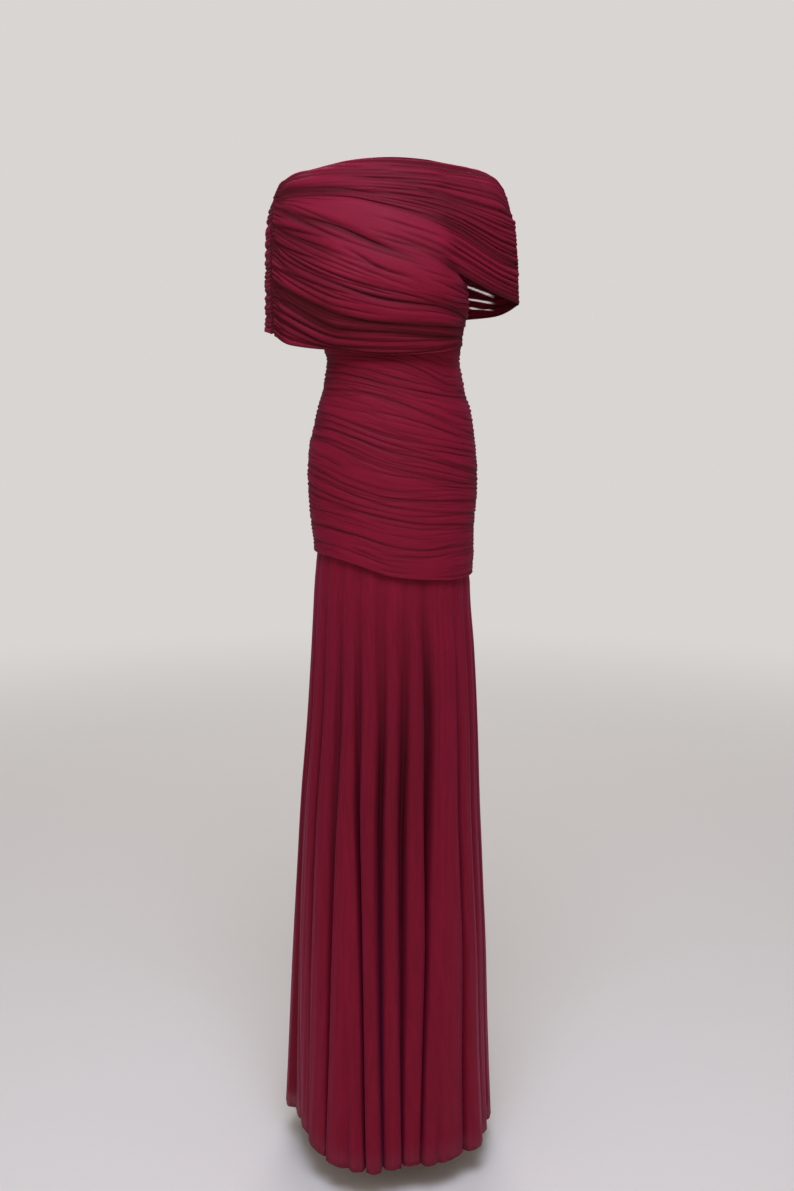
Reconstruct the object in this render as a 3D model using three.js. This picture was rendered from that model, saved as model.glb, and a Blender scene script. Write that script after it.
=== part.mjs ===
import * as THREE from 'three';

// Mermaid evening gown, millimetres, +Z up, front facing -Y.
// The origin lies between the shoulders, in the middle of the neck opening.

// Cloth wall and seams
const WALL = 1.5;
const SEAM_GAP = 0.3;
const MITRE_LIMIT = 0.72;

// Neck opening: half width and how far it reaches forward and back
const NECK_HALF = 108;
const NECK_FRONT = 58;
const NECK_BACK = 60;

// Skirt
const HEM_Z = -1553;
const SKIRT_TUCK = 14;
const SKIRT_INSET = 3.84;
const INSET_HOLD = 7;
const INSET_FADE = 28;
const FLUTE_ROUNDNESS = 1.3;
const FLUTE_GROWTH = 1.25;
const SKIRT_TOP = -640;
const LOBE_GROWTH = 1.7;
const VALLEY_BEND = 1.6;
const FLUTE_COLUMNS = [0, 0.14, 0.37, 0.63, 0.86];
const SEAM_MARGIN = 1.5;

// Clearance of the drape over the bodice at the side seam
const SIDE_LIFT = 2.4;
const SIDE_FRONT_LIFT = 6;
const SIDE_FRONT_ANGLE = 74;

// Height below which the seam normals of the drape turn level
const SHOULDER_DROP = -75;
const SHOULDER_SHARE = 0.735;
const SEAM_AXIS_Y = -5;

// Rounding of the drape over the shoulder: at the neck, columns over which it fades at the
// tips, and how far the arm seams ease apart there
const NECK_ROUND = 0.25;
const TIP_EASE = 1;
const TIP_SPAN = 35;
const TIP_COLUMNS = 3;

const CLOTH = { color: '#6b1428', roughness: 0.78, metalness: 0 };

// Top edge of the drape, a row per place from the left shoulder tip to the right one
const topEdge = [
  { at: 0, x: -177, z: -28 },
  { at: 1, x: -166, z: -17 },
  { at: 2, x: -150, z: -12 },
  { at: 3, x: -130, z: -6 },
  { at: 4, x: -NECK_HALF, z: -2.5 },
  { at: 6, x: -56, z: 2.5 },
  { at: 8, x: 0, z: 4 },
  { at: 10, x: 54, z: 2 },
  { at: 12, x: NECK_HALF, z: -1 },
  { at: 13, x: 128, z: -4 },
  { at: 14, x: 148, z: -9 },
  { at: 15, x: 166, z: -20 },
  { at: 16, x: 180, z: -37 },
];

// Arm seams of the drape, a row per height
const leftSeam = [
  { z: -28, x: -177, y: 0 },
  { z: -34, x: -179.6, y: -1.6 },
  { z: -48, x: -182.4, y: -13 },
  { z: -75, x: -184, y: -31 },
  { z: -110, x: -184, y: -41 },
  { z: -190, x: -184, y: -46 },
  { z: -270, x: -182, y: -45 },
];
const rightSeam = [
  { z: -37, x: 180, y: 0 },
  { z: -43, x: 183.4, y: -0.4 },
  { z: -58, x: 189, y: -3 },
  { z: -97, x: 196, y: -6 },
  { z: -150, x: 201, y: -8 },
  { z: -220, x: 203.5, y: -8 },
];

// Depth of the drape in front, a row per height and a column per station; reach
// narrows the stations towards the shoulders
const frontStations = { armL: -157, chestL: -77, mid: 0, chestR: 70, under: 103, armR: 174 };
const frontDepths = [
  { z: -300, reach: 1, armL: -60, chestL: -84, mid: -97, chestR: -82, under: -54, armR: -40 },
  { z: -240, reach: 1, armL: -66, chestL: -108, mid: -119, chestR: -104, under: -72, armR: -42 },
  { z: -190, reach: 1, armL: -68, chestL: -114, mid: -124, chestR: -112, under: -84, armR: -42 },
  { z: -100, reach: 1, armL: -62, chestL: -96, mid: -107, chestR: -95, under: -80, armR: -38 },
  { z: -45, reach: 0.97, armL: -38, chestL: -76, mid: -88, chestR: -76, under: -60, armR: -24 },
];

// Depth of the drape behind
const backStations = { outL: -197, backL: -166, bladeL: -84, mid: 0, bladeR: 84, backR: 172, outR: 198 };
const backDepths = [
  { z: -270, reach: 1, outL: -8, backL: 48, bladeL: 86, mid: 92, bladeR: 84, backR: 50, outR: 20 },
  { z: -190, reach: 1, outL: -6, backL: 52, bladeL: 89, mid: 96, bladeR: 88, backR: 52, outR: 20 },
  { z: -100, reach: 0.985, outL: -2, backL: 50, bladeL: 86, mid: 94, bladeR: 86, backR: 48, outR: 20 },
  { z: -45, reach: 0.93, outL: 17, backL: 36, bladeL: 68, mid: 80, bladeR: 68, backR: 34, outR: 18 },
];

// Creases of the front drape that run on to the right arm: height at each station,
// number of folds up to the next crease, ridge height at the left, middle and right
const upperCreases = [
  {
    seamL: -28, armL: -13, chestL: 1, mid: 4, chestR: 1, under: 0, armR: -24, seamR: -37,
    folds: 5, left: 1, middle: 3, right: 2.4,
  },
  {
    seamL: -46, armL: -43, chestL: -47, mid: -52, chestR: -58, under: -65, armR: -83, seamR: -88,
    folds: 6, left: 1.2, middle: 4, right: 2.8,
  },
  {
    seamL: -53, armL: -55, chestL: -60, mid: -76, chestR: -95, under: -107, armR: -146, seamR: -153,
    folds: 5, left: 1.6, middle: 3, right: 3,
  },
  {
    seamL: -61, armL: -72, chestL: -110, mid: -136, chestR: -161, under: -175, armR: -208, seamR: -217,
  },
];

// Creases of the front drape that run on to the side seam of the bodice
const lowerCreases = [
  {
    seamL: -61, armL: -72, chestL: -110, mid: -136, chestR: -161, under: -175, side: -184, seamR: -189,
    folds: 4, left: 3.2, middle: 4, right: 1,
  },
  {
    seamL: -110, armL: -128, chestL: -167, mid: -195, chestR: -214, under: -219, side: -218, seamR: -216,
    folds: 2, left: 3.4, middle: 2.6, right: 1.2,
  },
  {
    seamL: -127, armL: -153, chestL: -197, mid: -218, chestR: -227, under: -236, side: -239, seamR: -240,
    folds: 4, left: 4, middle: 2.6, right: 1.2,
  },
  {
    seamL: -182, armL: -201, chestL: -240, mid: -253, chestR: -257, under: -257, side: -255, seamR: -253,
    folds: 2, left: 4, middle: 3.4, right: 1.2,
  },
  {
    seamL: -197, armL: -220, chestL: -260, mid: -265, chestR: -270, under: -271, side: -268, seamR: -265,
    folds: 3, left: 3.6, middle: 2.4, right: 1.1,
  },
  {
    seamL: -232, armL: -252, chestL: -284, mid: -290, chestR: -286, under: -280, side: -276, seamR: -273,
    folds: 3, left: 2.6, middle: 1.6, right: 0.9,
  },
  {
    seamL: -266, armL: -284, chestL: -294, mid: -300, chestR: -296, under: -289, side: -284, seamR: -281,
  },
];

// Creases of the back drape
const backCreases = [
  { seamL: -28, backL: -14, mid: 4, backR: -20, seamR: -37, folds: 5, left: 1, middle: 3, right: 2.2 },
  {
    seamL: -46, backL: -50, mid: -54, backR: -78, seamR: -88,
    folds: 6, left: 1.6, middle: 3.6, right: 2.6,
  },
  {
    seamL: -92, backL: -100, mid: -112, backR: -138, seamR: -146,
    folds: 6, left: 2.8, middle: 3.6, right: 2.6,
  },
  {
    seamL: -178, backL: -178, mid: -184, backR: -196, seamR: -196,
    folds: 6, left: 3, middle: 3, right: 1.2,
  },
  { seamL: -266, backL: -256, mid: -246, backR: -234, seamR: -219 },
];

// Rings of the body, a row per height
const bodyRings = [
  { z: -190, left: -112, right: 115, front: 108, back: 82 },
  { z: -230, left: -111, right: 118, front: 110, back: 82 },
  { z: -262, left: -108, right: 112.5, front: 102, back: 81 },
  { z: -290, left: -103.5, right: 108.5, front: 88, back: 80 },
  { z: -307, left: -99.5, right: 106.5, front: 85, back: 79 },
  { z: -345, left: -104, right: 113, front: 85, back: 84 },
  { z: -403, left: -119, right: 127.5, front: 89, back: 97 },
  { z: -442, left: -127, right: 132.5, front: 91, back: 108 },
  { z: -481, left: -130.5, right: 136, front: 93, back: 116 },
  { z: -520, left: -129, right: 136, front: 94, back: 118 },
  { z: -559, left: -126, right: 131.5, front: 96, back: 116 },
  { z: -618, left: -120, right: 130, front: 98, back: 112 },
  { z: -660, left: -121, right: 124, front: 99, back: 111 },
  { z: -776, left: -128, right: 131.5, front: 105, back: 117 },
  { z: -895, left: -136.5, right: 138.5, front: 116, back: 129 },
  { z: -1016, left: -147, right: 144, front: 129, back: 142 },
  { z: -1137, left: -154.5, right: 149.5, front: 141, back: 154 },
  { z: -1259, left: -161.5, right: 155, front: 152, back: 165 },
  { z: -1382, left: -167.5, right: 159, front: 162, back: 174 },
  { z: -1550, left: -175, right: 165, front: 173, back: 184 },
];

// Creases of the bodice front, from the top edge to the free hip edge
const bodiceStations = { seamL: -90, left: -50, midL: -25, mid: 0, midR: 25, right: 50, seamR: 90 };
const bodiceFrontCreases = [
  {
    seamL: -205, left: -205, midL: -205, mid: -205, midR: -205, right: -205, seamR: -205,
    folds: 1, side: 0, middle: 0,
  },
  {
    seamL: -262, left: -264, midL: -268, mid: -274, midR: -282, right: -290, seamR: -292,
    folds: 4, side: 1.8, middle: 1.6,
  },
  {
    seamL: -294, left: -297, midL: -301, mid: -308, midR: -326, right: -349, seamR: -355,
    folds: 2, side: 2.2, middle: 2.2,
  },
  {
    seamL: -320, left: -326, midL: -336, mid: -349, midR: -359, right: -366, seamR: -371,
    folds: 3, side: 2.4, middle: 2,
  },
  {
    seamL: -352, left: -354, midL: -360, mid: -372, midR: -393, right: -415, seamR: -429,
    folds: 4, side: 2.6, middle: 2.4,
  },
  {
    seamL: -384, left: -395, midL: -409, mid: -425, midR: -439, right: -448, seamR: -460,
    folds: 3, side: 2.4, middle: 2,
  },
  {
    seamL: -410, left: -416, midL: -430, mid: -450, midR: -463, right: -476, seamR: -489,
    folds: 2, side: 2.4, middle: 2.4,
  },
  {
    seamL: -429, left: -439, midL: -456, mid: -475, midR: -486, right: -496, seamR: -507,
    folds: 4, side: 2.4, middle: 1.8,
  },
  {
    seamL: -470, left: -489, midL: -508, mid: -522, midR: -525, right: -525, seamR: -530,
    folds: 4, side: 2.6, middle: 1.8,
  },
  {
    seamL: -507, left: -527, midL: -541, mid: -554, midR: -562, right: -564, seamR: -568,
    folds: 3, side: 2.8, middle: 1.2,
  },
  {
    seamL: -569, left: -572, midL: -582, mid: -597, midR: -600, right: -594, seamR: -593,
    folds: 3, side: 2, middle: 1.4,
  },
  { seamL: -604, left: -612, midL: -626, mid: -643, midR: -649, right: -652, seamR: -647 },
];

// Creases of the bodice back
const bodiceBackCreases = [
  {
    seamL: -205, left: -200, midL: -196, mid: -195, midR: -196, right: -200, seamR: -205,
    folds: 1, side: 0, middle: 0,
  },
  {
    seamL: -262, left: -268, midL: -274, mid: -280, midR: -285, right: -289, seamR: -292,
    folds: 5, side: 2.2, middle: 2,
  },
  {
    seamL: -352, left: -366, midL: -378, mid: -386, midR: -386, right: -378, seamR: -371,
    folds: 5, side: 2.6, middle: 2.2,
  },
  {
    seamL: -429, left: -448, midL: -466, mid: -478, midR: -478, right: -468, seamR: -460,
    folds: 5, side: 2.6, middle: 2,
  },
  {
    seamL: -507, left: -528, midL: -548, mid: -560, midR: -562, right: -556, seamR: -548,
    folds: 6, side: 2.6, middle: 1.8,
  },
  { seamL: -604, left: -618, midL: -636, mid: -650, midR: -656, right: -656, seamR: -647 },
];

// Flutes of the skirt: angle of each valley round the ring at the hip and at the hem (0 in
// front, 90 on the right), its depth at the hem, how far the lobe after it stands back
// there, the height where the valley begins, and how far the hem rises at the valley
const flutes = [
  { hip: -86, hem: -82, depth: 17, lobe: 17, from: -1000, rise: 16 },
  { hip: -67, hem: -62, depth: 22, lobe: 14, from: -1010, rise: 20 },
  { hip: -54, hem: -49.5, depth: 22, lobe: 5, from: -690, rise: 14 },
  { hip: -36, hem: -35.5, depth: 20, lobe: -1, from: -680, rise: 2 },
  { hip: -29, hem: -21.4, depth: 13, lobe: -5, from: -1180, rise: 0 },
  { hip: -23.5, hem: -11, depth: 18, lobe: -5, from: -650, rise: 0 },
  { hip: -5.5, hem: -1.3, depth: 20, lobe: 8, from: -690, rise: 0 },
  { hip: 9.2, hem: 8.6, depth: 27, lobe: 14, from: -640, rise: 0 },
  { hip: 26, hem: 18.6, depth: 23, lobe: 5, from: -660, rise: 0 },
  { hip: 35, hem: 29, depth: 16, lobe: 4, from: -1240, rise: 0 },
  { hip: 49, hem: 46, depth: 19, lobe: -6, from: -700, rise: 0 },
  { hip: 67, hem: 62.5, depth: 15, lobe: 1, from: -860, rise: 0 },
  { hip: 82, hem: 79, depth: 15, lobe: -1, from: -980, rise: 0 },
  { hip: 97, hem: 98, depth: 16, lobe: 2, from: -700, rise: 0 },
  { hip: 110, hem: 112, depth: 19, lobe: 0, from: -680, rise: 0 },
  { hip: 128, hem: 127, depth: 22, lobe: 9, from: -730, rise: 0 },
  { hip: 146, hem: 142, depth: 20, lobe: 2, from: -660, rise: 0 },
  { hip: 158, hem: 156, depth: 17, lobe: -2, from: -1160, rise: 0 },
  { hip: 168, hem: 170, depth: 20, lobe: 4, from: -650, rise: 0 },
  { hip: 182, hem: 183, depth: 24, lobe: 12, from: -700, rise: 0 },
  { hip: 199, hem: 196, depth: 21, lobe: 0, from: -660, rise: 0 },
  { hip: 212, hem: 211, depth: 16, lobe: -2, from: -1080, rise: 0 },
  { hip: 224, hem: 227, depth: 20, lobe: 6, from: -680, rise: 0 },
  { hip: 240, hem: 242, depth: 19, lobe: 1, from: -710, rise: 4 },
  { hip: 257, hem: 258, depth: 16, lobe: -1, from: -690, rise: 10 },
];

const radians = (degrees) => (degrees * Math.PI) / 180;
const mix = (a, b, share) => a + (b - a) * share;
const clamp01 = (value) => Math.min(1, Math.max(0, value));
const smooth = (value) => {
  const t = clamp01(value);
  return t * t * (3 - 2 * t);
};

// Smooth curve through places and values that never overshoots between two of them
function curveThrough(places, values) {
  const last = places.length - 1;
  const slopes = [];
  for (let i = 0; i < last; i += 1) {
    slopes.push((values[i + 1] - values[i]) / (places[i + 1] - places[i]));
  }
  const tangents = values.map((_, i) => {
    if (i === 0) return slopes[0];
    if (i === last) return slopes[last - 1];
    const [a, b] = [slopes[i - 1], slopes[i]];
    return a * b <= 0 ? 0 : (2 * a * b) / (a + b);
  });
  return (place) => {
    let i = 0;
    while (i < last - 1 && place > places[i + 1]) i += 1;
    const width = places[i + 1] - places[i];
    const t = clamp01((place - places[i]) / width);
    const rise = smooth(t);
    const start = t * (1 - t) * (1 - t) * width * tangents[i];
    const end = t * t * (t - 1) * width * tangents[i + 1];
    return mix(values[i], values[i + 1], rise) + start + end;
  };
}

// Reads one column of a table as a smooth curve over its key column
function columnCurve(rows, key, column) {
  const sorted = [...rows].sort((a, b) => a[key] - b[key]);
  return curveThrough(sorted.map((row) => row[key]), sorted.map((row) => row[column]));
}

// Cloth sheet with wall thickness: points, quads, seam normals and ridge heights in,
// a closed body with faces out
class Sheet {
  constructor(name) {
    this.name = name;
    this.points = [];
    this.lifts = [];
    this.seamNormals = [];
    this.quads = [];
  }

  add(point, lift, seamNormal) {
    this.points.push(point);
    this.lifts.push(lift);
    this.seamNormals.push(seamNormal ?? null);
    return this.points.length - 1;
  }

  // Joins a grid of point numbers, rows from the top down and columns rightwards as seen outside
  join(grid) {
    for (let r = 0; r + 1 < grid.length; r += 1) {
      for (let c = 0; c + 1 < grid[r].length; c += 1) {
        this.quads.push([grid[r][c], grid[r + 1][c], grid[r + 1][c + 1], grid[r][c + 1]]);
      }
    }
  }

  // Normal at every point, with the share by which its faces lean away from it
  normals(points) {
    const sums = points.map(() => new THREE.Vector3());
    const faces = this.quads.map((quad) => {
      const [a, b, c, d] = quad.map((i) => points[i]);
      const across = new THREE.Vector3().subVectors(c, a);
      const down = new THREE.Vector3().subVectors(d, b);
      return across.cross(down).normalize();
    });
    this.quads.forEach((quad, q) => quad.forEach((i) => sums[i].add(faces[q])));
    sums.forEach((sum, i) => {
      if (this.seamNormals[i]) sum.copy(this.seamNormals[i]);
      sum.normalize();
    });
    const leans = points.map(() => ({ total: 0, count: 0 }));
    this.quads.forEach((quad, q) => quad.forEach((i) => {
      leans[i].total += faces[q].dot(sums[i]);
      leans[i].count += 1;
    }));
    return sums.map((normal, i) => {
      const lean = Math.max(MITRE_LIMIT, leans[i].total / leans[i].count);
      return { normal, lean: this.seamNormals[i] ? 1 : lean };
    });
  }

  mesh() {
    const base = this.normals(this.points);
    const middle = this.points.map((p, i) => p.clone().addScaledVector(base[i].normal, this.lifts[i]));
    const faced = this.normals(middle);
    const count = middle.length;
    const positions = new Float32Array(count * 6);
    middle.forEach((p, i) => {
      const reach = WALL / 2 / faced[i].lean;
      const outer = p.clone().addScaledVector(faced[i].normal, reach);
      const inner = p.clone().addScaledVector(faced[i].normal, -reach);
      outer.toArray(positions, i * 3);
      inner.toArray(positions, (count + i) * 3);
    });
    const index = [];
    const edges = new Map();
    for (const [a, b, c, d] of this.quads) {
      index.push(a, b, c, a, c, d);
      index.push(count + a, count + c, count + b, count + a, count + d, count + c);
      for (const [from, to] of [[a, b], [b, c], [c, d], [d, a]]) edges.set(`${from} ${to}`, [from, to]);
    }
    for (const [from, to] of edges.values()) {
      if (edges.has(`${to} ${from}`)) continue;
      index.push(to, from, count + from, to, count + from, count + to);
    }
    const geometry = new THREE.BufferGeometry();
    geometry.setAttribute('position', new THREE.BufferAttribute(positions, 3));
    geometry.setIndex(index);
    geometry.computeVertexNormals();
    const mesh = new THREE.Mesh(geometry, new THREE.MeshStandardMaterial(CLOTH));
    mesh.name = this.name;
    return mesh;
  }
}

// Height lines between the creases of a table: valley and ridge rows, each with its
// height at any place along the stations and its share of the ridge height
function foldRows(creases, stations, heightNames) {
  const places = stations.map((_, i) => i);
  const lines = creases.map((crease) => curveThrough(places, stations.map((name) => crease[name])));
  const ridge = (crease, along) => {
    const values = heightNames.map((name) => crease[name]);
    const spots = heightNames.map((_, i) => i / (heightNames.length - 1));
    return curveThrough(spots, values)(along);
  };
  const rows = [];
  for (let i = 0; i + 1 < creases.length; i += 1) {
    const { folds } = creases[i];
    for (let step = 0; step < folds * 2; step += 1) {
      const sway = folds > 1 && step > 0 ? 0.16 * Math.sin(5.1 * step + 2.3 * i) : 0;
      const share = (step + sway) / (folds * 2);
      const strength = step % 2 === 0 ? 0 : 0.82 + 0.18 * Math.sin(3.7 * step + 1.9 * i);
      rows.push({
        crease: i,
        share,
        z: (place) => mix(lines[i](place), lines[i + 1](place), share),
        lift: (along) => strength * ridge(creases[i], along),
      });
    }
  }
  rows.push({ crease: creases.length - 1, share: 0, z: lines[lines.length - 1], lift: () => 0 });
  return rows;
}

// Point and normal of a body ring: angle 0 in front, 90 on the right
const ringCurves = Object.fromEntries(
  ['left', 'right', 'front', 'back'].map((name) => [name, columnCurve(bodyRings, 'z', name)]),
);
function ringPoint(angle, z, out = 0) {
  const centre = (ringCurves.left(z) + ringCurves.right(z)) / 2;
  const half = (ringCurves.right(z) - ringCurves.left(z)) / 2;
  const side = Math.sin(radians(angle));
  const ahead = Math.cos(radians(angle));
  const depth = ahead >= 0 ? ringCurves.front(z) : ringCurves.back(z);
  const full = Math.sign(ahead) * Math.abs(ahead) ** 0.92;
  const point = new THREE.Vector3(centre + half * side, -depth * full, z);
  const away = new THREE.Vector3(side / half, -ahead / depth, 0).normalize();
  return point.addScaledVector(away, out);
}

// Top edge of the drape by column, front (-1) or back (+1)
const topX = columnCurve(topEdge, 'at', 'x');
const topZ = columnCurve(topEdge, 'at', 'z');
function topPoint(column, side) {
  const x = topX(column);
  const open = Math.max(0, 1 - (x / NECK_HALF) ** 2) ** 0.55;
  const reach = side < 0 ? NECK_FRONT : NECK_BACK;
  return new THREE.Vector3(x, side * (SEAM_GAP / 2 + reach * open), topZ(column));
}
function topIsSeam(column) {
  return Math.abs(topX(column)) >= NECK_HALF - 0.01;
}

// Seam normal of the drape at a seam point, pointing away from the arm
function seamNormal(point) {
  const axis = new THREE.Vector3(
    point.x * SHOULDER_SHARE, point.z > SHOULDER_DROP ? 0 : SEAM_AXIS_Y, Math.min(point.z, SHOULDER_DROP),
  );
  return new THREE.Vector3().subVectors(point, axis).normalize();
}

// Point of an arm seam at a height, moved to the front (-1) or back (+1) piece
function armSeamCurve(rows) {
  const x = columnCurve(rows, 'z', 'x');
  const y = columnCurve(rows, 'z', 'y');
  return (z, side) => {
    const point = new THREE.Vector3(x(z), y(z), z);
    const lower = new THREE.Vector3(x(z - 1), y(z - 1), z - 1);
    const along = lower.sub(point).normalize();
    const aside = new THREE.Vector3().crossVectors(seamNormal(point), along).normalize();
    if (aside.y * side < 0) aside.negate();
    const ease = 1 + TIP_EASE * smooth((z - SHOULDER_DROP) / TIP_SPAN);
    return point.addScaledVector(aside, (SEAM_GAP / 2) * ease);
  };
}
const leftSeamPoint = armSeamCurve(leftSeam);
const rightSeamPoint = armSeamCurve(rightSeam);

// Station place of each of the drape's columns; the armhole opens at the column 'under'
const COLUMNS = 16;
const frontPlaces = [0, 0.3, 0.62, 1, 1.4, 1.8, 2.25, 2.7, 3.15, 3.6, 4.1, 5, 5.35, 5.7, 6.1, 6.55, 7];
const UNDER_COLUMN = 11;
const backPlaces = [0, 0.55, 1, 1.5, 2, 2.5, 3, 3.5, 4, 4.5, 5, 5.5, 6, 6.5, 7, 7.5, 8];

// Places of a drape row between its two seam points
function drapeAcross(stations, depths, z, place, ends) {
  const names = Object.keys(stations);
  const reach = columnCurve(depths, 'z', 'reach')(z);
  const middle = names.map((name) => [stations[name] * reach, columnCurve(depths, 'z', name)(z)]);
  const points = [[ends[0].x, ends[0].y], ...middle, [ends[1].x, ends[1].y]];
  const places = points.map((_, i) => i);
  const x = curveThrough(places, points.map((p) => p[0]))(place);
  const y = curveThrough(places, points.map((p) => p[1]))(place);
  return new THREE.Vector3(x, y, z);
}

// Rounds the first part of the drape over the shoulder, from the top edge downwards
function shoulderRound(top, lower, share, column) {
  const fromTip = Math.min(column, COLUMNS - column) / TIP_COLUMNS;
  const round = smooth(fromTip) * mix(NECK_ROUND, 1, (topX(column) / topX(COLUMNS)) ** 2);
  const turn = radians(90 * share);
  const out = mix(share, Math.sin(turn), round);
  const drop = mix(share, 1 - Math.cos(turn), round);
  return new THREE.Vector3(
    mix(top.x, lower.x, out), mix(top.y, lower.y, out), mix(top.z, lower.z, drop),
  );
}

// One row of a drape piece as point numbers of its sheet
function drapeRow(sheet, row, side, stations, depths, places, firstLine) {
  const last = places.length - 1;
  const numbers = [];
  const seamZ = [row.z(0), row.z(last === COLUMNS ? places[last] : last)];
  const ends = [leftSeamPoint(seamZ[0], side), rightSeamPoint(seamZ[1], side)];
  for (let c = 0; c <= last; c += 1) {
    const along = c / last;
    const top = topPoint(c, side);
    const isTop = row.crease === 0 && row.share === 0;
    let point;
    let normal = null;
    if (isTop) {
      point = top;
      if (c === 0 || c === last) {
        point = ends[c === 0 ? 0 : 1].clone();
        point.y += side * (SEAM_GAP / 2);
      }
      if (topIsSeam(c)) normal = seamNormal(point);
    } else if (c === 0 || c === last) {
      point = ends[c === 0 ? 0 : 1].clone();
      normal = seamNormal(point);
    } else if (row.crease === 0) {
      const z = firstLine(places[c]);
      const lower = drapeAcross(stations, depths, z, places[c], [
        leftSeamPoint(firstLine(0), side), rightSeamPoint(firstLine(places[last]), side),
      ]);
      point = shoulderRound(top, lower, row.share, c);
    } else {
      point = drapeAcross(stations, depths, row.z(places[c]), places[c], ends);
    }
    numbers.push(sheet.add(point, isTop ? 0 : row.lift(along), normal));
  }
  return numbers;
}

// Row of the front drape that ends on the side seam of the bodice; its first points may be
// shared with the row above
function bodyRow(sheet, row, shared) {
  const numbers = [];
  const last = frontPlaces.length - 1;
  const start = leftSeamPoint(row.z(0), -1);
  const names = Object.keys(frontStations).slice(0, -1);
  for (let c = 0; c <= last; c += 1) {
    if (shared && c <= UNDER_COLUMN) {
      numbers.push(shared[c]);
      continue;
    }
    const place = frontPlaces[c];
    const z = row.z(place);
    const side = ringPoint(SIDE_FRONT_ANGLE, z, SIDE_FRONT_LIFT);
    const seam = ringPoint(90, z, SIDE_LIFT);
    const points = [
      [start.x, start.y],
      ...names.map((name) => [frontStations[name], columnCurve(frontDepths, 'z', name)(z)]),
      [side.x, side.y],
      [seam.x, -SEAM_GAP / 2],
    ];
    const places = points.map((_, i) => i);
    const point = new THREE.Vector3(
      curveThrough(places, points.map((p) => p[0]))(place),
      curveThrough(places, points.map((p) => p[1]))(place),
      z,
    );
    let normal = null;
    if (c === 0) {
      point.copy(start);
      normal = seamNormal(point);
    } else if (c === last) {
      normal = new THREE.Vector3(1, 0, 0);
    }
    numbers.push(sheet.add(point, row.lift(c / last), normal));
  }
  return numbers;
}

// Front drape: one piece over both shoulders, open under the right arm
function buildDrapeFront() {
  const sheet = new Sheet('drape_front');
  const heights = ['left', 'middle', 'right'];
  const upperNames = ['seamL', ...Object.keys(frontStations), 'seamR'];
  const lowerNames = upperNames.map((name) => (name === 'armR' ? 'side' : name));
  const upper = foldRows(upperCreases, upperNames, heights);
  const lower = foldRows(lowerCreases, lowerNames, heights);
  const firstLine = upper.find((row) => row.crease === 1).z;
  const upperGrid = upper.map((row) => drapeRow(
    sheet, row, -1, frontStations, frontDepths, frontPlaces, firstLine,
  ));
  const shared = upperGrid[upperGrid.length - 1];
  const lowerGrid = lower.map((row, r) => bodyRow(sheet, row, r === 0 ? shared : null));
  sheet.join(upperGrid);
  sheet.join(lowerGrid);
  return sheet;
}

// Back drape: one piece between the arm seams, hanging free over the back
function buildDrapeBack() {
  const sheet = new Sheet('drape_back');
  const creaseNames = ['seamL', 'backL', 'mid', 'backR', 'seamR'];
  const rows = foldRows(backCreases, creaseNames, ['left', 'middle', 'right']);
  const spread = (place) => (place / 8) * 4;
  const spreadRows = rows.map((row) => ({ ...row, z: (place) => row.z(spread(place)) }));
  const firstLine = spreadRows.find((row) => row.crease === 1).z;
  const grid = spreadRows.map((row) => drapeRow(
    sheet, row, 1, backStations, backDepths, backPlaces, firstLine,
  ).reverse());
  sheet.join(grid);
  return sheet;
}

// Half of the bodice: front (-1) or back (+1), between the two side seams
function buildBodice(name, side, creases, columns) {
  const sheet = new Sheet(name);
  const stationNames = Object.keys(bodiceStations);
  const angles = Object.values(bodiceStations);
  const placeOf = curveThrough(angles, angles.map((_, i) => i));
  const rows = foldRows(creases, stationNames, ['side', 'middle', 'side']);
  const grid = rows.map((row) => {
    const numbers = [];
    for (let c = 0; c <= columns; c += 1) {
      const angle = mix(-90, 90, c / columns);
      const z = row.z(placeOf(angle));
      const point = ringPoint(side < 0 ? angle : 180 - angle, z);
      const atSeam = c === 0 || c === columns;
      if (atSeam) point.y = side * (SEAM_GAP / 2);
      const normal = atSeam ? new THREE.Vector3(Math.sign(angle), 0, 0) : null;
      numbers.push(sheet.add(point, row.lift(c / columns), normal));
    }
    return side < 0 ? numbers : numbers.reverse();
  });
  sheet.join(grid);
  return sheet;
}

// Free lower edge of the bodice by angle round the ring
function hipEdge(angle) {
  const front = Math.cos(radians(angle)) >= 0;
  const edge = (front ? bodiceFrontCreases : bodiceBackCreases).at(-1);
  const heights = Object.keys(bodiceStations).map((name) => edge[name]);
  const turned = front ? angle : 180 - angle;
  return curveThrough(Object.values(bodiceStations), heights)(turned);
}

// Angle of a flute's valley at a height
function valleyAngle(flute, z) {
  return mix(flute.hem, flute.hip, clamp01((z - HEM_Z) / (SKIRT_TOP - HEM_Z)) ** VALLEY_BEND);
}

// Flute number and share of the way on to the next, with both valleys' depths blended
// inward: rounded lobes between narrower valleys
function fluteDepth(i, share, z) {
  const here = flutes[i];
  const next = flutes[(i + 1) % flutes.length];
  const valley = (flute) => flute.depth * clamp01((flute.from - z) / (flute.from - HEM_Z)) ** FLUTE_GROWTH;
  const lobe = here.lobe * clamp01((SKIRT_TOP - z) / (SKIRT_TOP - HEM_Z)) ** LOBE_GROWTH;
  const depth = mix(valley(here), valley(next), smooth(share));
  return mix(lobe, depth, (0.5 + 0.5 * Math.cos(2 * Math.PI * share)) ** FLUTE_ROUNDNESS);
}

// Height of the hem at a share of the way from one valley to the next
function hemHeight(i, share) {
  return HEM_Z + mix(flutes[i].rise, flutes[(i + 1) % flutes.length].rise, smooth(share));
}

// Angle on the ring and inward depth at a share of the way from one valley to the next
function flutePlace(i, share, z) {
  const next = flutes[(i + 1) % flutes.length];
  const here = valleyAngle(flutes[i], z);
  const width = (valleyAngle(next, z) - here + 360) % 360;
  return { angle: here + share * width, depth: fluteDepth(i, share, z) };
}

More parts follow.
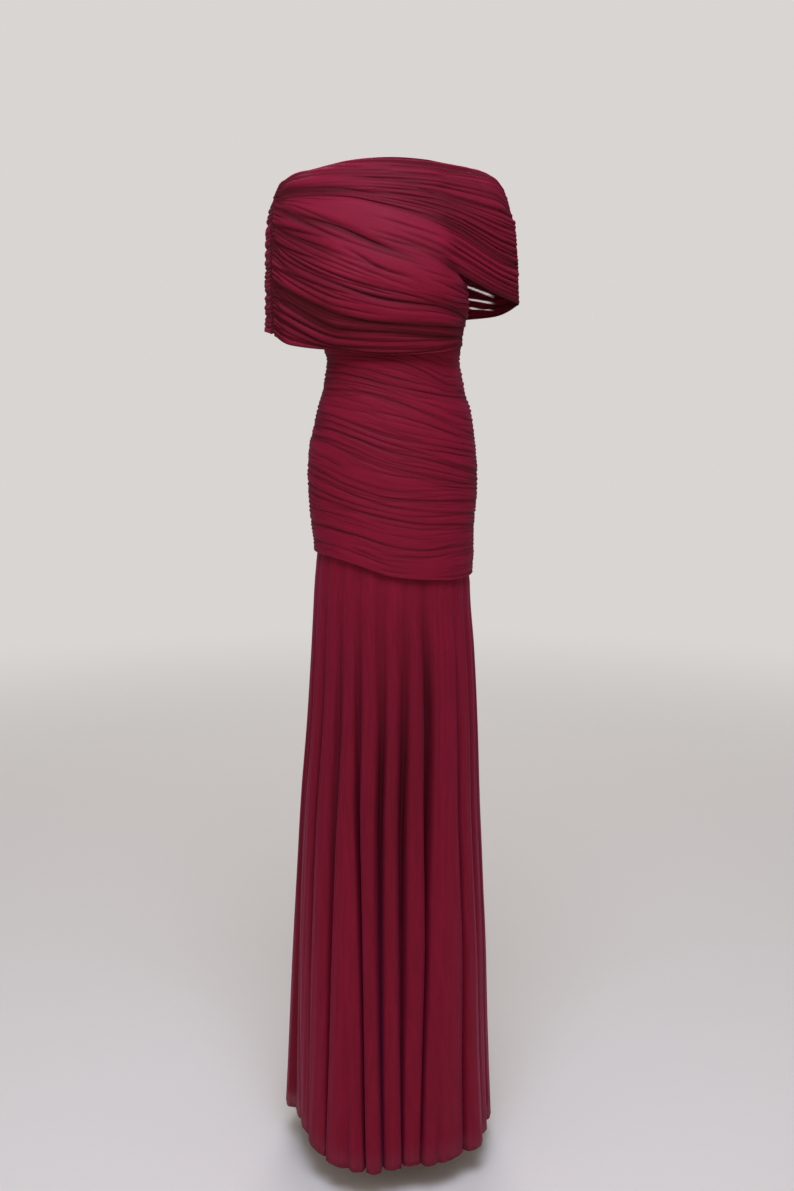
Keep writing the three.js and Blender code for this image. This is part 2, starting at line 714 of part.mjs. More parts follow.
// Flute number and share at any angle, for the side seams
function fluteAt(angle, z) {
  const around = (turn) => (turn + 360) % 360;
  const gaps = flutes.map((flute) => around(angle - valleyAngle(flute, z)));
  const i = gaps.indexOf(Math.min(...gaps));
  const width = around(valleyAngle(flutes[(i + 1) % flutes.length], z) - valleyAngle(flutes[i], z));
  return { i, share: gaps[i] / width };
}

// Half of the skirt, its columns set out by the flutes between the side seams
function buildSkirt(name, from, to) {
  const sheet = new Sheet(name);
  const columns = [];
  flutes.forEach((flute, i) => {
    for (const share of FLUTE_COLUMNS) {
      const hem = flutePlace(i, share, HEM_Z).angle;
      const hip = flutePlace(i, share, SKIRT_TOP).angle;
      const turn = hem < from ? 360 : 0;
      const inside = (angle) => angle + turn > from + SEAM_MARGIN && angle + turn < to - SEAM_MARGIN;
      if (inside(hem) && inside(hip)) columns.push({ i, share, turn, order: hem + turn });
    }
  });
  columns.sort((a, b) => a.order - b.order);
  const rows = [
    { below: -SKIRT_TUCK, share: 0 },
    { below: INSET_HOLD, share: 0 },
    { below: INSET_HOLD + INSET_FADE, share: 0 },
    { below: 0, share: 0.17 },
    { below: 0, share: 0.34 },
    { below: 0, share: 0.55 },
    { below: 0, share: 0.77 },
    { below: 0, share: 1 },
  ];
  const side = from < 0 ? -1 : 1;
  const addPoint = (row, angleAt, placeAt, atSeam) => {
    const hem = hemHeight(placeAt(HEM_Z).i, placeAt(HEM_Z).share);
    const rough = mix(hipEdge(angleAt(SKIRT_TOP)), hem, row.share);
    const edge = hipEdge(angleAt(rough));
    const z = mix(edge - row.below, hem, row.share);
    const inset = SKIRT_INSET * (1 - smooth((edge - INSET_HOLD - z) / INSET_FADE));
    const { i, share } = placeAt(z);
    const point = ringPoint(angleAt(z), z, -inset - fluteDepth(i, share, z));
    if (atSeam) point.y = side * (SEAM_GAP / 2);
    return sheet.add(point, 0, atSeam ? new THREE.Vector3(Math.sign(point.x), 0, 0) : null);
  };
  const grid = rows.map((row) => [
    addPoint(row, () => from, (z) => fluteAt(from, z), true),
    ...columns.map(({ i, share, turn }) => addPoint(
      row, (z) => flutePlace(i, share, z).angle + turn, () => ({ i, share }), false,
    )),
    addPoint(row, () => to, (z) => fluteAt(to, z), true),
  ]);
  sheet.join(grid);
  return sheet;
}

const gown = new THREE.Group();
gown.name = 'mermaid_evening_gown';
gown.add(
  buildDrapeFront().mesh(),
  buildDrapeBack().mesh(),
  buildBodice('bodice_front', -1, bodiceFrontCreases, 12).mesh(),
  buildBodice('bodice_back', 1, bodiceBackCreases, 10).mesh(),
  buildSkirt('skirt_front', -90, 90).mesh(),
  buildSkirt('skirt_back', 90, 270).mesh(),
);

export default gown;
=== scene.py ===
import bpy
import numpy as np
from math import radians
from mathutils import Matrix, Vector


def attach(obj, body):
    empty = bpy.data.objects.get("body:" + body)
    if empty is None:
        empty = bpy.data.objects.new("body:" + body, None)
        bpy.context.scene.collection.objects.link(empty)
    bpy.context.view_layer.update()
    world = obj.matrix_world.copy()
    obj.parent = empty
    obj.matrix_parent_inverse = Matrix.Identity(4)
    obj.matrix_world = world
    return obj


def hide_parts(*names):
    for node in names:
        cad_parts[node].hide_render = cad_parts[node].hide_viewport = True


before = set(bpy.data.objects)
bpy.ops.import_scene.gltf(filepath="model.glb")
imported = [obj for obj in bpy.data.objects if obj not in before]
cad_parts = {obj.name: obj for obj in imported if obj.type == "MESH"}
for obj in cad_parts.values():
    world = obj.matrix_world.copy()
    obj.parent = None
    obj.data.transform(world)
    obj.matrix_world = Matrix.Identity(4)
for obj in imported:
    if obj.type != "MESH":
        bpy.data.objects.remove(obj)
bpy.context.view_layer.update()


# Camera
# Stands two metres in front of the gown, a little above the hips, and looks slightly
# down through a normal lens; the downward shift keeps the verticals nearly straight.
TILT_DOWN = 3.6
lens = bpy.data.cameras.new("front_camera")
lens.lens = 36.48
lens.shift_y = -0.106
camera = bpy.data.objects.new("front_camera", lens)
camera.location = (0.010, -1.950, -0.360)
camera.rotation_euler = (radians(90 - TILT_DOWN), 0, 0)
bpy.context.scene.collection.objects.link(camera)
bpy.context.scene.camera = camera


# Studio
# Plain pale floor that passes into a pale backdrop, a wide soft light overhead and a warmer
# one low in front, a weaker one on either side and one high behind.
def linear(colour):
    """Linear colour of an sRGB hex value: ((c + 0.055) / 1.055) ** 2.4 above 0.04045, c / 12.92 below."""
    parts = [int(colour[i:i + 2], 16) / 255 for i in (1, 3, 5)]
    return [((c + 0.055) / 1.055) ** 2.4 if c > 0.04045 else c / 12.92 for c in parts] + [1.0]


def soft_light(name, place, aim, size, watts, colour):
    """Square area light of that size in metres at a place, turned towards aim."""
    lamp = bpy.data.lights.new(name, "AREA")
    lamp.size = size
    lamp.energy = watts
    lamp.color = linear(colour)[:3]
    holder = bpy.data.objects.new(name, lamp)
    holder.location = place
    holder.rotation_euler = (Vector(aim) - Vector(place)).to_track_quat("-Z", "Y").to_euler()
    bpy.context.scene.collection.objects.link(holder)


soft_light("ceiling_light", (0.0, -1.3, 1.5), (0, 0, -0.4), 1.5, 74, "#dae3ff")
soft_light("front_light", (0.1, -3.6, -0.5), (0, 0, -1.3), 1.8, 17, "#ffe6d8")
soft_light("left_light", (-2.6, -1.6, 0.0), (0, 0, -0.8), 1.6, 9.5, "#fff4ea")
soft_light("right_light", (2.6, -1.6, 0.0), (0, 0, -0.8), 1.6, 6.5, "#fff4ea")
soft_light("rear_light", (0, 2.6, 1.4), (0, 0, -0.6), 1.8, 40, "#ffffff")


def add_node(tree, kind, inputs=None, **settings):
    """Node of a kind with its settings, each input given as a value or as the socket it comes from."""
    made = tree.nodes.new(kind)
    for name, value in settings.items():
        setattr(made, name, value)
    for name, value in (inputs or {}).items():
        if isinstance(value, bpy.types.NodeSocket):
            tree.links.new(value, made.inputs[name])
        else:
            made.inputs[name].default_value = value
    return made


# The backdrop is seen brighter than the light that it gives back to the gown
BACKDROP = {"Color": linear("#dedad7"), "Strength": 0.95}
surroundings = bpy.data.worlds.new("pale_surroundings")
surroundings.use_nodes = True
tree = surroundings.node_tree
given = tree.nodes["Background"]
given.inputs["Color"].default_value = linear("#f2efec")
given.inputs["Strength"].default_value = 0.3
backdrop = add_node(tree, "ShaderNodeBackground", BACKDROP)
ray = add_node(tree, "ShaderNodeLightPath")
seen = add_node(tree, "ShaderNodeMixShader", {"Fac": ray.outputs["Is Camera Ray"],
                1: given.outputs["Background"], 2: backdrop.outputs["Background"]})
tree.links.new(seen.outputs["Shader"], tree.nodes["World Output"].inputs["Surface"])
bpy.context.scene.world = surroundings
bpy.context.scene.view_settings.view_transform = "Standard"

FLOOR_HALF, FLOOR_Z = 40, -1.6
floor_corners = [(x * FLOOR_HALF, y * FLOOR_HALF, FLOOR_Z) for x, y in ((-1, -1), (1, -1), (1, 1), (-1, 1))]
floor_mesh = bpy.data.meshes.new("floor")
floor_mesh.from_pydata(floor_corners, [], [(0, 1, 2, 3)])
floor = bpy.data.objects.new("floor", floor_mesh)
bpy.context.scene.collection.objects.link(floor)

# Matt floor paint that is seen to pass into the backdrop's tone from 0.8 to 4.5 metres away
floor_paint = bpy.data.materials.new("matt_floor_paint")
floor_paint.use_nodes = True
tree = floor_paint.node_tree
near = tree.nodes["Principled BSDF"]
near.inputs["Base Color"].default_value = linear("#dcd5cd")
near.inputs["Roughness"].default_value = 0.85
far = add_node(tree, "ShaderNodeEmission", BACKDROP)
spot = add_node(tree, "ShaderNodeTexCoord")
level = add_node(tree, "ShaderNodeMapping", {"Vector": spot.outputs["Object"], "Scale": (1.0, 1.0, 0.0)})
reach = add_node(tree, "ShaderNodeVectorMath", {0: level.outputs["Vector"]}, operation="LENGTH")
share = add_node(tree, "ShaderNodeMapRange", {"Value": reach.outputs["Value"], "From Min": 0.8,
                 "From Max": 4.5}, interpolation_type="SMOOTHSTEP")
ray = add_node(tree, "ShaderNodeLightPath")
seen_share = add_node(tree, "ShaderNodeMath", {0: share.outputs["Result"],
                      1: ray.outputs["Is Camera Ray"]}, operation="MULTIPLY")
both = add_node(tree, "ShaderNodeMixShader", {"Fac": seen_share.outputs["Value"], 1: near.outputs["BSDF"],
                2: far.outputs["Emission"]})
tree.links.new(both.outputs["Shader"], tree.nodes["Material Output"].inputs["Surface"])
floor_mesh.materials.append(floor_paint)


# Stretch mesh
# The whole gown is one wine-red nylon and elastane power mesh: a fine open warp knit,
# matt with a soft bloom where it curves away, sheer where it is a single layer. Its colour is
# painted darker in the hollows, as painted shade and partly as the cloth lying double there,
# so the crests stand lighter; its sheen is painted weaker in the hollows too.
def stretch_mesh(name, sheer_share):
    """Knit on the piece's own UV in metres. The attribute rise runs from the painted shade of the
    hollows to the tone of the crests, and also weakens the sheen in the hollows; the attribute
    sheer thins the cloth by sheer_share."""
    cloth = bpy.data.materials.new(name)
    cloth.use_nodes = True
    tree = cloth.node_tree
    skin = tree.nodes["Principled BSDF"]
    constants = {"Roughness": 0.62, "IOR": 1.5, "Specular IOR Level": 0.1, "Sheen Roughness": 0.45,
                 "Sheen Tint": linear("#b0487e")}
    for socket, value in constants.items():
        skin.inputs[socket].default_value = value
    spread = add_node(tree, "ShaderNodeUVMap", uv_map="cloth")
    # Knit cells are 0.9 mm in the real mesh, drawn at 1.5 mm so that they show
    cells = add_node(tree, "ShaderNodeTexVoronoi", {"Vector": spread.outputs["UV"], "Scale": 660.0},
                     voronoi_dimensions="2D", feature="DISTANCE_TO_EDGE")
    relief = add_node(tree, "ShaderNodeBump", {"Height": cells.outputs["Distance"], "Strength": 0.25,
                      "Distance": 0.0006})
    # Faint streaks, 7 mm apart across the folds and ten times as long
    streaks = add_node(tree, "ShaderNodeMapping", {"Vector": spread.outputs["UV"],
                       "Scale": (14.0, 150.0, 1.0)})
    cloud = add_node(tree, "ShaderNodeTexNoise", {"Vector": streaks.outputs["Vector"], "Scale": 1.0,
                     "Detail": 4.0, "Roughness": 0.6})
    # Tones of the hollows, a painted shade, and of the crests, each with faint streaks
    tones = []
    for colours in (("#3c060c", "#460810"), ("#6e0c22", "#7d0f2a")):
        ramp = add_node(tree, "ShaderNodeValToRGB", {"Fac": cloud.outputs["Fac"]})
        for k, place in enumerate((0.3, 0.72)):
            ramp.color_ramp.elements[k].position = place
            ramp.color_ramp.elements[k].color = linear(colours[k])
        tones.append(ramp.outputs["Color"])
    # The mix nodes keep their colour sockets, 6 and 7, after the number and vector ones
    # rise mixes the painted shade of the hollows into the tone of the crests
    rise = add_node(tree, "ShaderNodeAttribute", attribute_name="rise")
    hollow_shade = add_node(tree, "ShaderNodeMix", {"Factor": rise.outputs["Fac"], 6: tones[0], 7: tones[1]},
                    data_type="RGBA")
    thin = add_node(tree, "ShaderNodeAttribute", attribute_name="sheer")
    tint = add_node(tree, "ShaderNodeMix", {"Factor": thin.outputs["Fac"], 6: hollow_shade.outputs[2],
                    7: linear("#96324a")}, data_type="RGBA")
    solid = add_node(tree, "ShaderNodeMapRange", {"Value": thin.outputs["Fac"], "To Min": 1.0,
                     "To Max": 1.0 - sheer_share})
    # Painted shade of the sheen: it is weaker in the hollows, following rise
    shaded_sheen = add_node(tree, "ShaderNodeMapRange", {"Value": rise.outputs["Fac"], "To Min": 0.06,
                     "To Max": 0.26})
    sources = {"Base Color": tint.outputs[2], "Normal": relief.outputs["Normal"],
               "Alpha": solid.outputs["Result"], "Sheen Weight": shaded_sheen.outputs["Result"]}
    for socket, source in sources.items():
        tree.links.new(source, skin.inputs[socket])
    return cloth


mesh_cloth = stretch_mesh("nylon_stretch_mesh", 0.85)


# Bodice
# Close front and back panels joined at the side seams, gathered into them so that the
# cloth runs across the body in sloping creases; the lower edge lies free over the skirt.
def table(names, *rows):
    """Columns of a table by name, in mm and degrees, from one row of numbers per place."""
    return dict(zip(names.split(), np.array(rows, float).T))


def ease(share):
    """3 t^2 - 2 t^3 of the share held between 0 and 1."""
    t = np.clip(share, 0.0, 1.0)
    return t * t * (3.0 - 2.0 * t)


def curve(places, values, at):
    """Cubic curve through values at rising places. The slope at each is the harmonic mean of
    the steps beside it, or 0 at a turn, so that it never overshoots. values may hold a
    whole array per place."""
    places, values, at = np.asarray(places, float), np.asarray(values, float), np.asarray(at, float)
    if values.ndim == 1:
        values = values.reshape((-1,) + (1,) * at.ndim)
    shape = np.broadcast_shapes(values.shape[1:], at.shape)
    values, at = np.broadcast_to(values, (len(places),) + shape), np.broadcast_to(at, shape)
    slopes = np.diff(values, axis=0) / np.diff(places).reshape((-1,) + (1,) * at.ndim)
    product, total = slopes[:-1] * slopes[1:], slopes[:-1] + slopes[1:]
    inner = np.where(product > 0, 2 * product / np.where(total == 0, 1, total), 0.0)
    tangents = np.concatenate([slopes[:1], inner, slopes[-1:]])
    i = np.clip(np.searchsorted(places, at, side="right") - 1, 0, len(places) - 2)
    start, end, leave, arrive = (np.take_along_axis(a, k[None], 0)[0] for a, k in (
        (values, i), (values, i + 1), (tangents, i), (tangents, i + 1)))
    width = places[i + 1] - places[i]
    t = np.clip((at - places[i]) / width, 0, 1)
    return start + (end - start) * ease(t) + width * t * (1 - t) * (leave * (1 - t) - arrive * t)


def column(sizes, key, name, at):
    """Column of a table read as a smooth curve over its key column."""
    order = np.argsort(sizes[key])
    return curve(sizes[key][order], sizes[name][order], at)


# Rings of the body by height: how far each reaches to the left and right, in front and behind
body_rings = table(
    "z left right front back",
    (-190, -112, 115, 108, 82), (-230, -111, 118, 110, 82), (-262, -108, 112.5, 102, 81),
    (-290, -103.5, 108.5, 88, 80), (-307, -99.5, 106.5, 85, 79), (-345, -104, 113, 85, 84),
    (-403, -119, 127.5, 89, 97), (-442, -127, 132.5, 91, 108), (-481, -130.5, 136, 93, 116),
    (-520, -129, 136, 94, 118), (-559, -126, 131.5, 96, 116), (-618, -120, 130, 98, 112),
    (-660, -123, 128, 99, 111), (-776, -131, 136.5, 105, 117), (-895, -138.8, 142.5, 116, 129),
    (-1016, -149, 146, 129, 142), (-1137, -156.5, 151.5, 141, 154), (-1259, -162.5, 156.5, 152, 165),
    (-1382, -167.5, 159, 162, 174), (-1550, -175, 165, 173, 184))


def ring_point(angle, z, out=0.0):
    """Point of a body ring: x = middle + half sin, y = -depth |cos|^0.92 with the sign of
    cos, angle 0 in front and 90 on the right, then moved out by out."""
    left, right, front, back = (column(body_rings, "z", name, z)
                                for name in ("left", "right", "front", "back"))
    half = (right - left) / 2
    side, ahead = np.sin(np.radians(angle)), np.cos(np.radians(angle))
    depth = np.where(ahead >= 0, front, back)
    away_x, away_y = side / half, -ahead / depth
    length = np.hypot(away_x, away_y)
    x = (left + right) / 2 + half * side + out * away_x / length
    y = -depth * np.sign(ahead) * np.abs(ahead) ** 0.92 + out * away_y / length
    return np.stack(np.broadcast_arrays(x, y, z), -1)


def creased(place, z, creases, ridge):
    """Height of ruched cloth over its base: ridge times, for every crease,
    1 - depth exp(-(d / width)^1.5), where d is the distance from the crease's line, the
    side under the fold above is twice as steep as the other, and depth fades out over the
    run at either end that doesn't lie in a seam. Also how far the fold above each crease
    sags over it, fullest three quarters of a width above the line and 3.2 mm at most."""
    height = np.array(ridge * np.ones_like(z))
    sag = np.zeros_like(z)
    for n, (*heights, start, end, depth, width) in enumerate(creases):
        line = curve(np.arange(len(heights)), heights, place)
        run = 0.2 + 0.28 * (min(end, len(heights) - 1) - max(start, 0))
        fade = depth * (0.88 + 0.12 * np.sin(2.6 * place + 1.7 * n))
        fade *= ease((place - start) / run + (start <= 0))
        fade *= ease((end - place) / run + (end >= len(heights) - 1))
        d = z - line
        height *= 1 - fade * np.exp(-(np.abs(d) / np.where(d > 0, 0.75 * width, 1.5 * width)) ** 1.5)
        sag += fade * np.exp(-((d / width - 0.75) / 0.6) ** 2) * 0.6 * width
    return height, np.minimum(sag, 3.2)


def between(guides, levels, start, end, depth, width, drift=0):
    """Creases that follow the guide lines: each level is the number of a guide line plus a
    share of the way to the next one, and grows by drift from the first place to the last, so
    that creases run together. A start or end past the places lies in a seam."""
    guides = np.asarray(guides, float)
    levels = np.asarray(levels, float)[:, None]
    drift, *ends = [np.broadcast_to(np.asarray(value, float), len(levels))[:, None]
                    for value in (drift, start, end, depth, width)]
    levels = np.clip(levels + drift * np.linspace(-0.5, 0.5, guides.shape[1]), 0, len(guides) - 1.001)
    i = levels.astype(int)
    place = np.arange(guides.shape[1])
    return np.hstack([guides[i, place] * (1 - levels + i) + guides[i + 1, place] * (levels - i), *ends])


def scattered(guides, levels, count, length, depth, width, drift, seed):
    """Fine creases along the guide lines, spread over the levels with a jitter of half
    their spacing, each from a random place over a random length, up to depth, width and drift."""
    lot = np.random.default_rng(seed)
    spread = np.linspace(*levels, count) + lot.uniform(-0.5, 0.5, count) * (levels[1] - levels[0]) / count
    last = len(guides[0]) - 1
    middle, half = lot.uniform(-0.2, last + 0.2, count), lot.uniform(0.4, 1, count) * length / 2
    return between(guides, spread, middle - half, middle + half, lot.uniform(0.35, 1, count) * depth,
                   lot.uniform(0.6, 1, count) * width, lot.uniform(-1, 1, count) * drift)


def moved_out(points, height, sag, side):
    """Grid points moved along their own normals by height, and down by sag; side is -1 in
    front, where columns run to the right as seen from outside, and 1 behind."""
    down, right = np.gradient(points, axis=0), np.gradient(points, axis=1)
    normal = np.cross(down, right) * -side
    normal /= np.maximum(np.linalg.norm(normal, axis=-1, keepdims=True), 1e-9)
    lifted = points + normal * height[..., None]
    lifted[..., 2] -= sag
    return lifted


# The cloth is two layers of mesh, or one of mesh on its lining
CLOTH_THICKNESS = 0.8


def mesh_piece(name, points, faces, spread, sheer, rise, thickness=0):
    """Piece of stretch mesh from points and a flat spread of them in mm, which becomes the UV
    map in metres, with the values sheer and rise at the points; a wall if it has a thickness."""
    mesh = bpy.data.meshes.new(name)
    mesh.from_pydata((points / 1000).tolist(), [], faces)
    corners = np.concatenate(faces)
    mesh.uv_layers.new(name="cloth").data.foreach_set("uv", (spread[corners] / 1000).ravel())
    for attribute, values in (("sheer", sheer), ("rise", rise)):
        values = np.broadcast_to(values, len(points)).astype(float)
        mesh.attributes.new(attribute, "FLOAT", "POINT").data.foreach_set("value", values)
    mesh.shade_smooth()
    mesh.materials.append(mesh_cloth)
    piece = bpy.data.objects.new(name, mesh)
    bpy.context.scene.collection.objects.link(piece)
    if thickness:
        wall = piece.modifiers.new("wall", "SOLIDIFY")
        wall.thickness = thickness / 1000
        wall.offset = 0
    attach(piece, "root")
    return piece


def cloth_piece(name, blocks, numbers, side, rises, sheers=None, upright=False):
    """Piece from grid blocks of points, each with its grid of point numbers. The flat spread
    is by mean arc length, u along the folds, or down them when they stand upright; side is -1
    where columns run to the right as seen from outside, and 1 where they run to the left."""
    count = max(number.max() for number in numbers) + 1
    points, spread = np.zeros((count, 3)), np.zeros((count, 2))
    sheer, rise = np.zeros(count), np.zeros(count)
    quads = []
    above = 0.0
    for k, (block, number) in enumerate(zip(blocks, numbers)):
        points[number] = block
        rise[number] = rises[k]
        if sheers is not None:
            sheer[number] = sheers[k]
        u = np.cumsum(np.r_[0, np.linalg.norm(np.diff(block, axis=1), axis=-1).mean(0)])
        v = np.cumsum(np.r_[0, np.linalg.norm(np.diff(block, axis=0), axis=-1).mean(1)]) + above
        spread[number] = np.stack(np.meshgrid(u, v), -1)
        above = v[-1]
        a, b, c, d = number[:-1, :-1], number[1:, :-1], number[1:, 1:], number[:-1, 1:]
        order = (a, b, c, d) if side < 0 else (a, d, c, b)
        quads.append(np.stack(order, -1).reshape(-1, 4))
    if upright:
        spread = spread[:, ::-1]
    return mesh_piece(name, points, np.concatenate(quads).tolist(), spread, sheer, rise, CLOTH_THICKNESS)


def grid_numbers(rows, columns, first=0):
    """Point numbers of a grid, row by row from first."""
    return first + np.arange(rows * columns).reshape(rows, columns)


# Guide creases by angle round the body, 0 in front and 90 on the right, from the top edge
# down to the free edge: traced in front, of the same kind behind
bodice_angles = [-90, -50, -25, 0, 25, 50, 90]
bodice_front_guides = [
    (-205, -205, -205, -205, -205, -205, -205), (-262, -264, -268, -274, -282, -290, -292),
    (-294, -297, -301, -308, -326, -349, -355), (-320, -326, -336, -349, -359, -366, -371),
    (-352, -354, -360, -372, -393, -415, -429), (-384, -395, -409, -425, -439, -448, -460),
    (-410, -416, -430, -450, -463, -476, -489), (-429, -439, -456, -475, -486, -496, -507),
    (-470, -489, -508, -522, -525, -525, -530), (-507, -527, -541, -554, -562, -564, -568),
    (-569, -572, -582, -597, -600, -594, -593), (-611, -616, -627, -643, -649, -652, -647)]
bodice_back_guides = [
    (-205, -200, -196, -195, -196, -200, -205), (-262, -268, -274, -280, -285, -289, -292),
    (-352, -366, -378, -386, -386, -378, -371), (-429, -448, -466, -478, -478, -468, -460),
    (-507, -528, -548, -560, -562, -556, -548), (-604, -618, -636, -650, -656, -656, -647)]


def guide_heights(guides, place, rows):
    """Heights of rows spread evenly from the first guide line to the last, by place across."""
    levels = np.linspace(0, len(guides) - 1, rows)
    lines = np.array([curve(np.arange(len(guide)), guide, place) for guide in guides])
    i = np.clip(levels.astype(int), 0, len(guides) - 2)
    share = (levels - i)[:, None]
    return lines[i] * (1 - share) + lines[i + 1] * share


def scallop(z):
    """Outward bulge of the gathers between two stitches of a side seam: |sin| of pi z / 6.6 mm
    with a slow drift of its phase, 2.3 mm high at most."""
    bulge = np.abs(np.sin(np.pi * z / 6.6 + 1.4 * np.sin(z / 23.0)))
    return 2.3 * bulge * (0.75 + 0.25 * np.sin(z / 9.1))


# Height of the drape's lower edge at the bodice's angles, and the height of the folds in mm
drape_hem = (-266, -284, -294, -300, -296, -289, -281)
BODICE_FOLD = 2.4


def build_bodice(name, side, guides, creases, columns, rows):
    """Grid of ring points over angle and height, 1.6 mm out and lifted by the creases. At the
    side seams the folds die away within 5 degrees and the gathers bulge; above the drape's
    lower edge the front lies flat."""
    angle = np.linspace(-90, 90, columns)
    place = np.interp(angle, bodice_angles, np.arange(7))
    z = guide_heights(guides, place, rows)
    base = ring_point(np.broadcast_to(angle if side < 0 else 180 - angle, z.shape), z)
    from_seam = 90 - np.abs(angle)
    folded = ease(from_seam / 5)
    bulge = scallop(z) * np.exp(-(from_seam / 7) ** 2)
    height, sag = creased(place, z, creases, BODICE_FOLD)
    if side < 0:
        free = ease((curve(bodice_angles, drape_hem, angle) + 6 - z) / 10)
        folded, bulge = folded * free, bulge * free
    lifted = moved_out(base, (1.6 + height) * folded + bulge, sag * folded, side)
    # The creases' height is rise, which paints shade into their hollows
    return cloth_piece(name, [lifted], [grid_numbers(rows, columns)], side, [height / BODICE_FOLD])


# One row of draws for the creases of all pieces, in the order in which they are made
rng = np.random.default_rng(7)


def ruching(guides, step, first, depths, fan_firsts, fine, gather_levels):
    """Creases of a panel that is gathered into both side seams, along its guide lines: main
    ones from seam to seam, a step apart from first on; fans that run in from the left and from
    the right and end on the way; the fine ones; and short gathers along either seam."""
    last = len(guides) - 1
    main = np.arange(first, last, step)
    count = len(main)
    rows = [between(guides, main, -1, 7, rng.uniform(*depths, count), 2.2,
                    rng.uniform(-0.3 * step, 0.3 * step, count))]
    for from_left, fan_first, inner_ends in zip((True, False), fan_firsts, ((1.5, 5), (1.5, 4.5))):
        levels = np.arange(fan_first, last, 0.3 * step)
        count = len(levels)
        levels += rng.uniform(-0.12 * step, 0.12 * step, count)
        inner = rng.uniform(*inner_ends, count)
        ends = (-1, inner) if from_left else (inner, 7)
        rows.append(between(guides, levels, *ends, rng.uniform(0.2, 0.7, count), 1.5,
                            rng.uniform(-0.5 * step, 0.5 * step, count)))
    rows.append(fine)
    levels = np.linspace(*gather_levels, 76)
    rows.append(between(guides, levels, -1, rng.uniform(0.3, 1.1, 76), 0.7, 1.4))
    rows.append(between(guides, levels, rng.uniform(5.0, 5.7, 76), 7, 0.7, 1.4))
    return np.vstack(rows)


fine = scattered(bodice_front_guides, (1, 11), count=210, length=2.6, depth=0.5, width=1.3,
                 drift=0.9, seed=11)
creases = ruching(bodice_front_guides, step=1, first=1, depths=(0.5, 0.85), fan_firsts=(1.15, 1.2),
                  fine=fine, gather_levels=(1, 10.9))
bodice_front = build_bodice("bodice_front_cloth", -1, bodice_front_guides, creases, columns=130, rows=360)
fine = scattered(bodice_back_guides, (0.3, 5), count=110, length=3, depth=0.5, width=1.5,
                 drift=0.4, seed=12)
creases = ruching(bodice_back_guides, step=0.5, first=0.5, depths=(0.6, 0.95), fan_firsts=(0.6, 0.6),
                  fine=fine, gather_levels=(0.3, 4.9))
bodice_back = build_bodice("bodice_back_cloth", 1, bodice_back_guides, creases, columns=100, rows=320)


def rolled_edge(name, path, up, wide, high, rise, sheer=0.0):
    """Closed tube along a path in mm: round each point an oval of 8 corners, half as wide as
    wide is to the side and high towards up, with flat ends."""
    path = np.asarray(path, float)
    ahead = np.gradient(path, axis=0)
    ahead /= np.linalg.norm(ahead, axis=1, keepdims=True)
    side = np.cross(ahead, up)
    side /= np.linalg.norm(side, axis=1, keepdims=True)
    turn = np.radians(np.arange(8) * 45 + 22.5)[None, :, None]
    points = path[:, None] + side[:, None] * wide * np.cos(turn)
    points = (points + np.cross(side, ahead)[:, None] * high * np.sin(turn)).reshape(-1, 3)
    number = grid_numbers(len(path), 8)
    number = np.hstack([number, number[:, :1]])
    quads = np.stack([number[:-1, :-1], number[1:, :-1], number[1:, 1:], number[:-1, 1:]], -1)
    faces = quads.reshape(-1, 4).tolist() + [number[0, :8].tolist(), number[-1, 7::-1].tolist()]
    along = np.r_[0, np.cumsum(np.linalg.norm(np.diff(path, axis=0), axis=1))]
    spread = np.stack([np.repeat(along, 8), np.tile(np.arange(8) * (wide + high) / 2, len(path))], -1)
    return mesh_piece(name, points, faces, spread, sheer, rise)


# Side seams of the bodice, from under the drape to the free edge
for where, angle, top, bottom in (("left", -90.0, -264, -603), ("right", 90.0, -294, -646)):
    heights = np.linspace(top, bottom, 300)
    path = ring_point(np.full(300, angle), heights, 0.3 + scallop(heights))
    rolled_edge(f"bodice_{where}_seam", path, (np.sign(angle), 0, 0),
                                    wide=0.9, high=0.7, rise=0.3)
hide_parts("bodice_front")
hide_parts("bodice_back")


# Skirt
# Front and back panels cut as parts of a circle: from soft bands under the hip edge they
# fall in uneven flutes with narrow deep valleys between broad smooth panels; the mesh is
# sheer below its lining and ends in a fine rolled edge.
HEM, FLUTE_TOP = -1553, -680
FLUTE_LEVELS = [HEM, -1200, -900, FLUTE_TOP]
# The skirt's top is tucked this far up under the free edge
TUCK = 14
# Front and back pieces end this far from the middle plane, where a side seam joins them
SEAM_HALF = 0.1
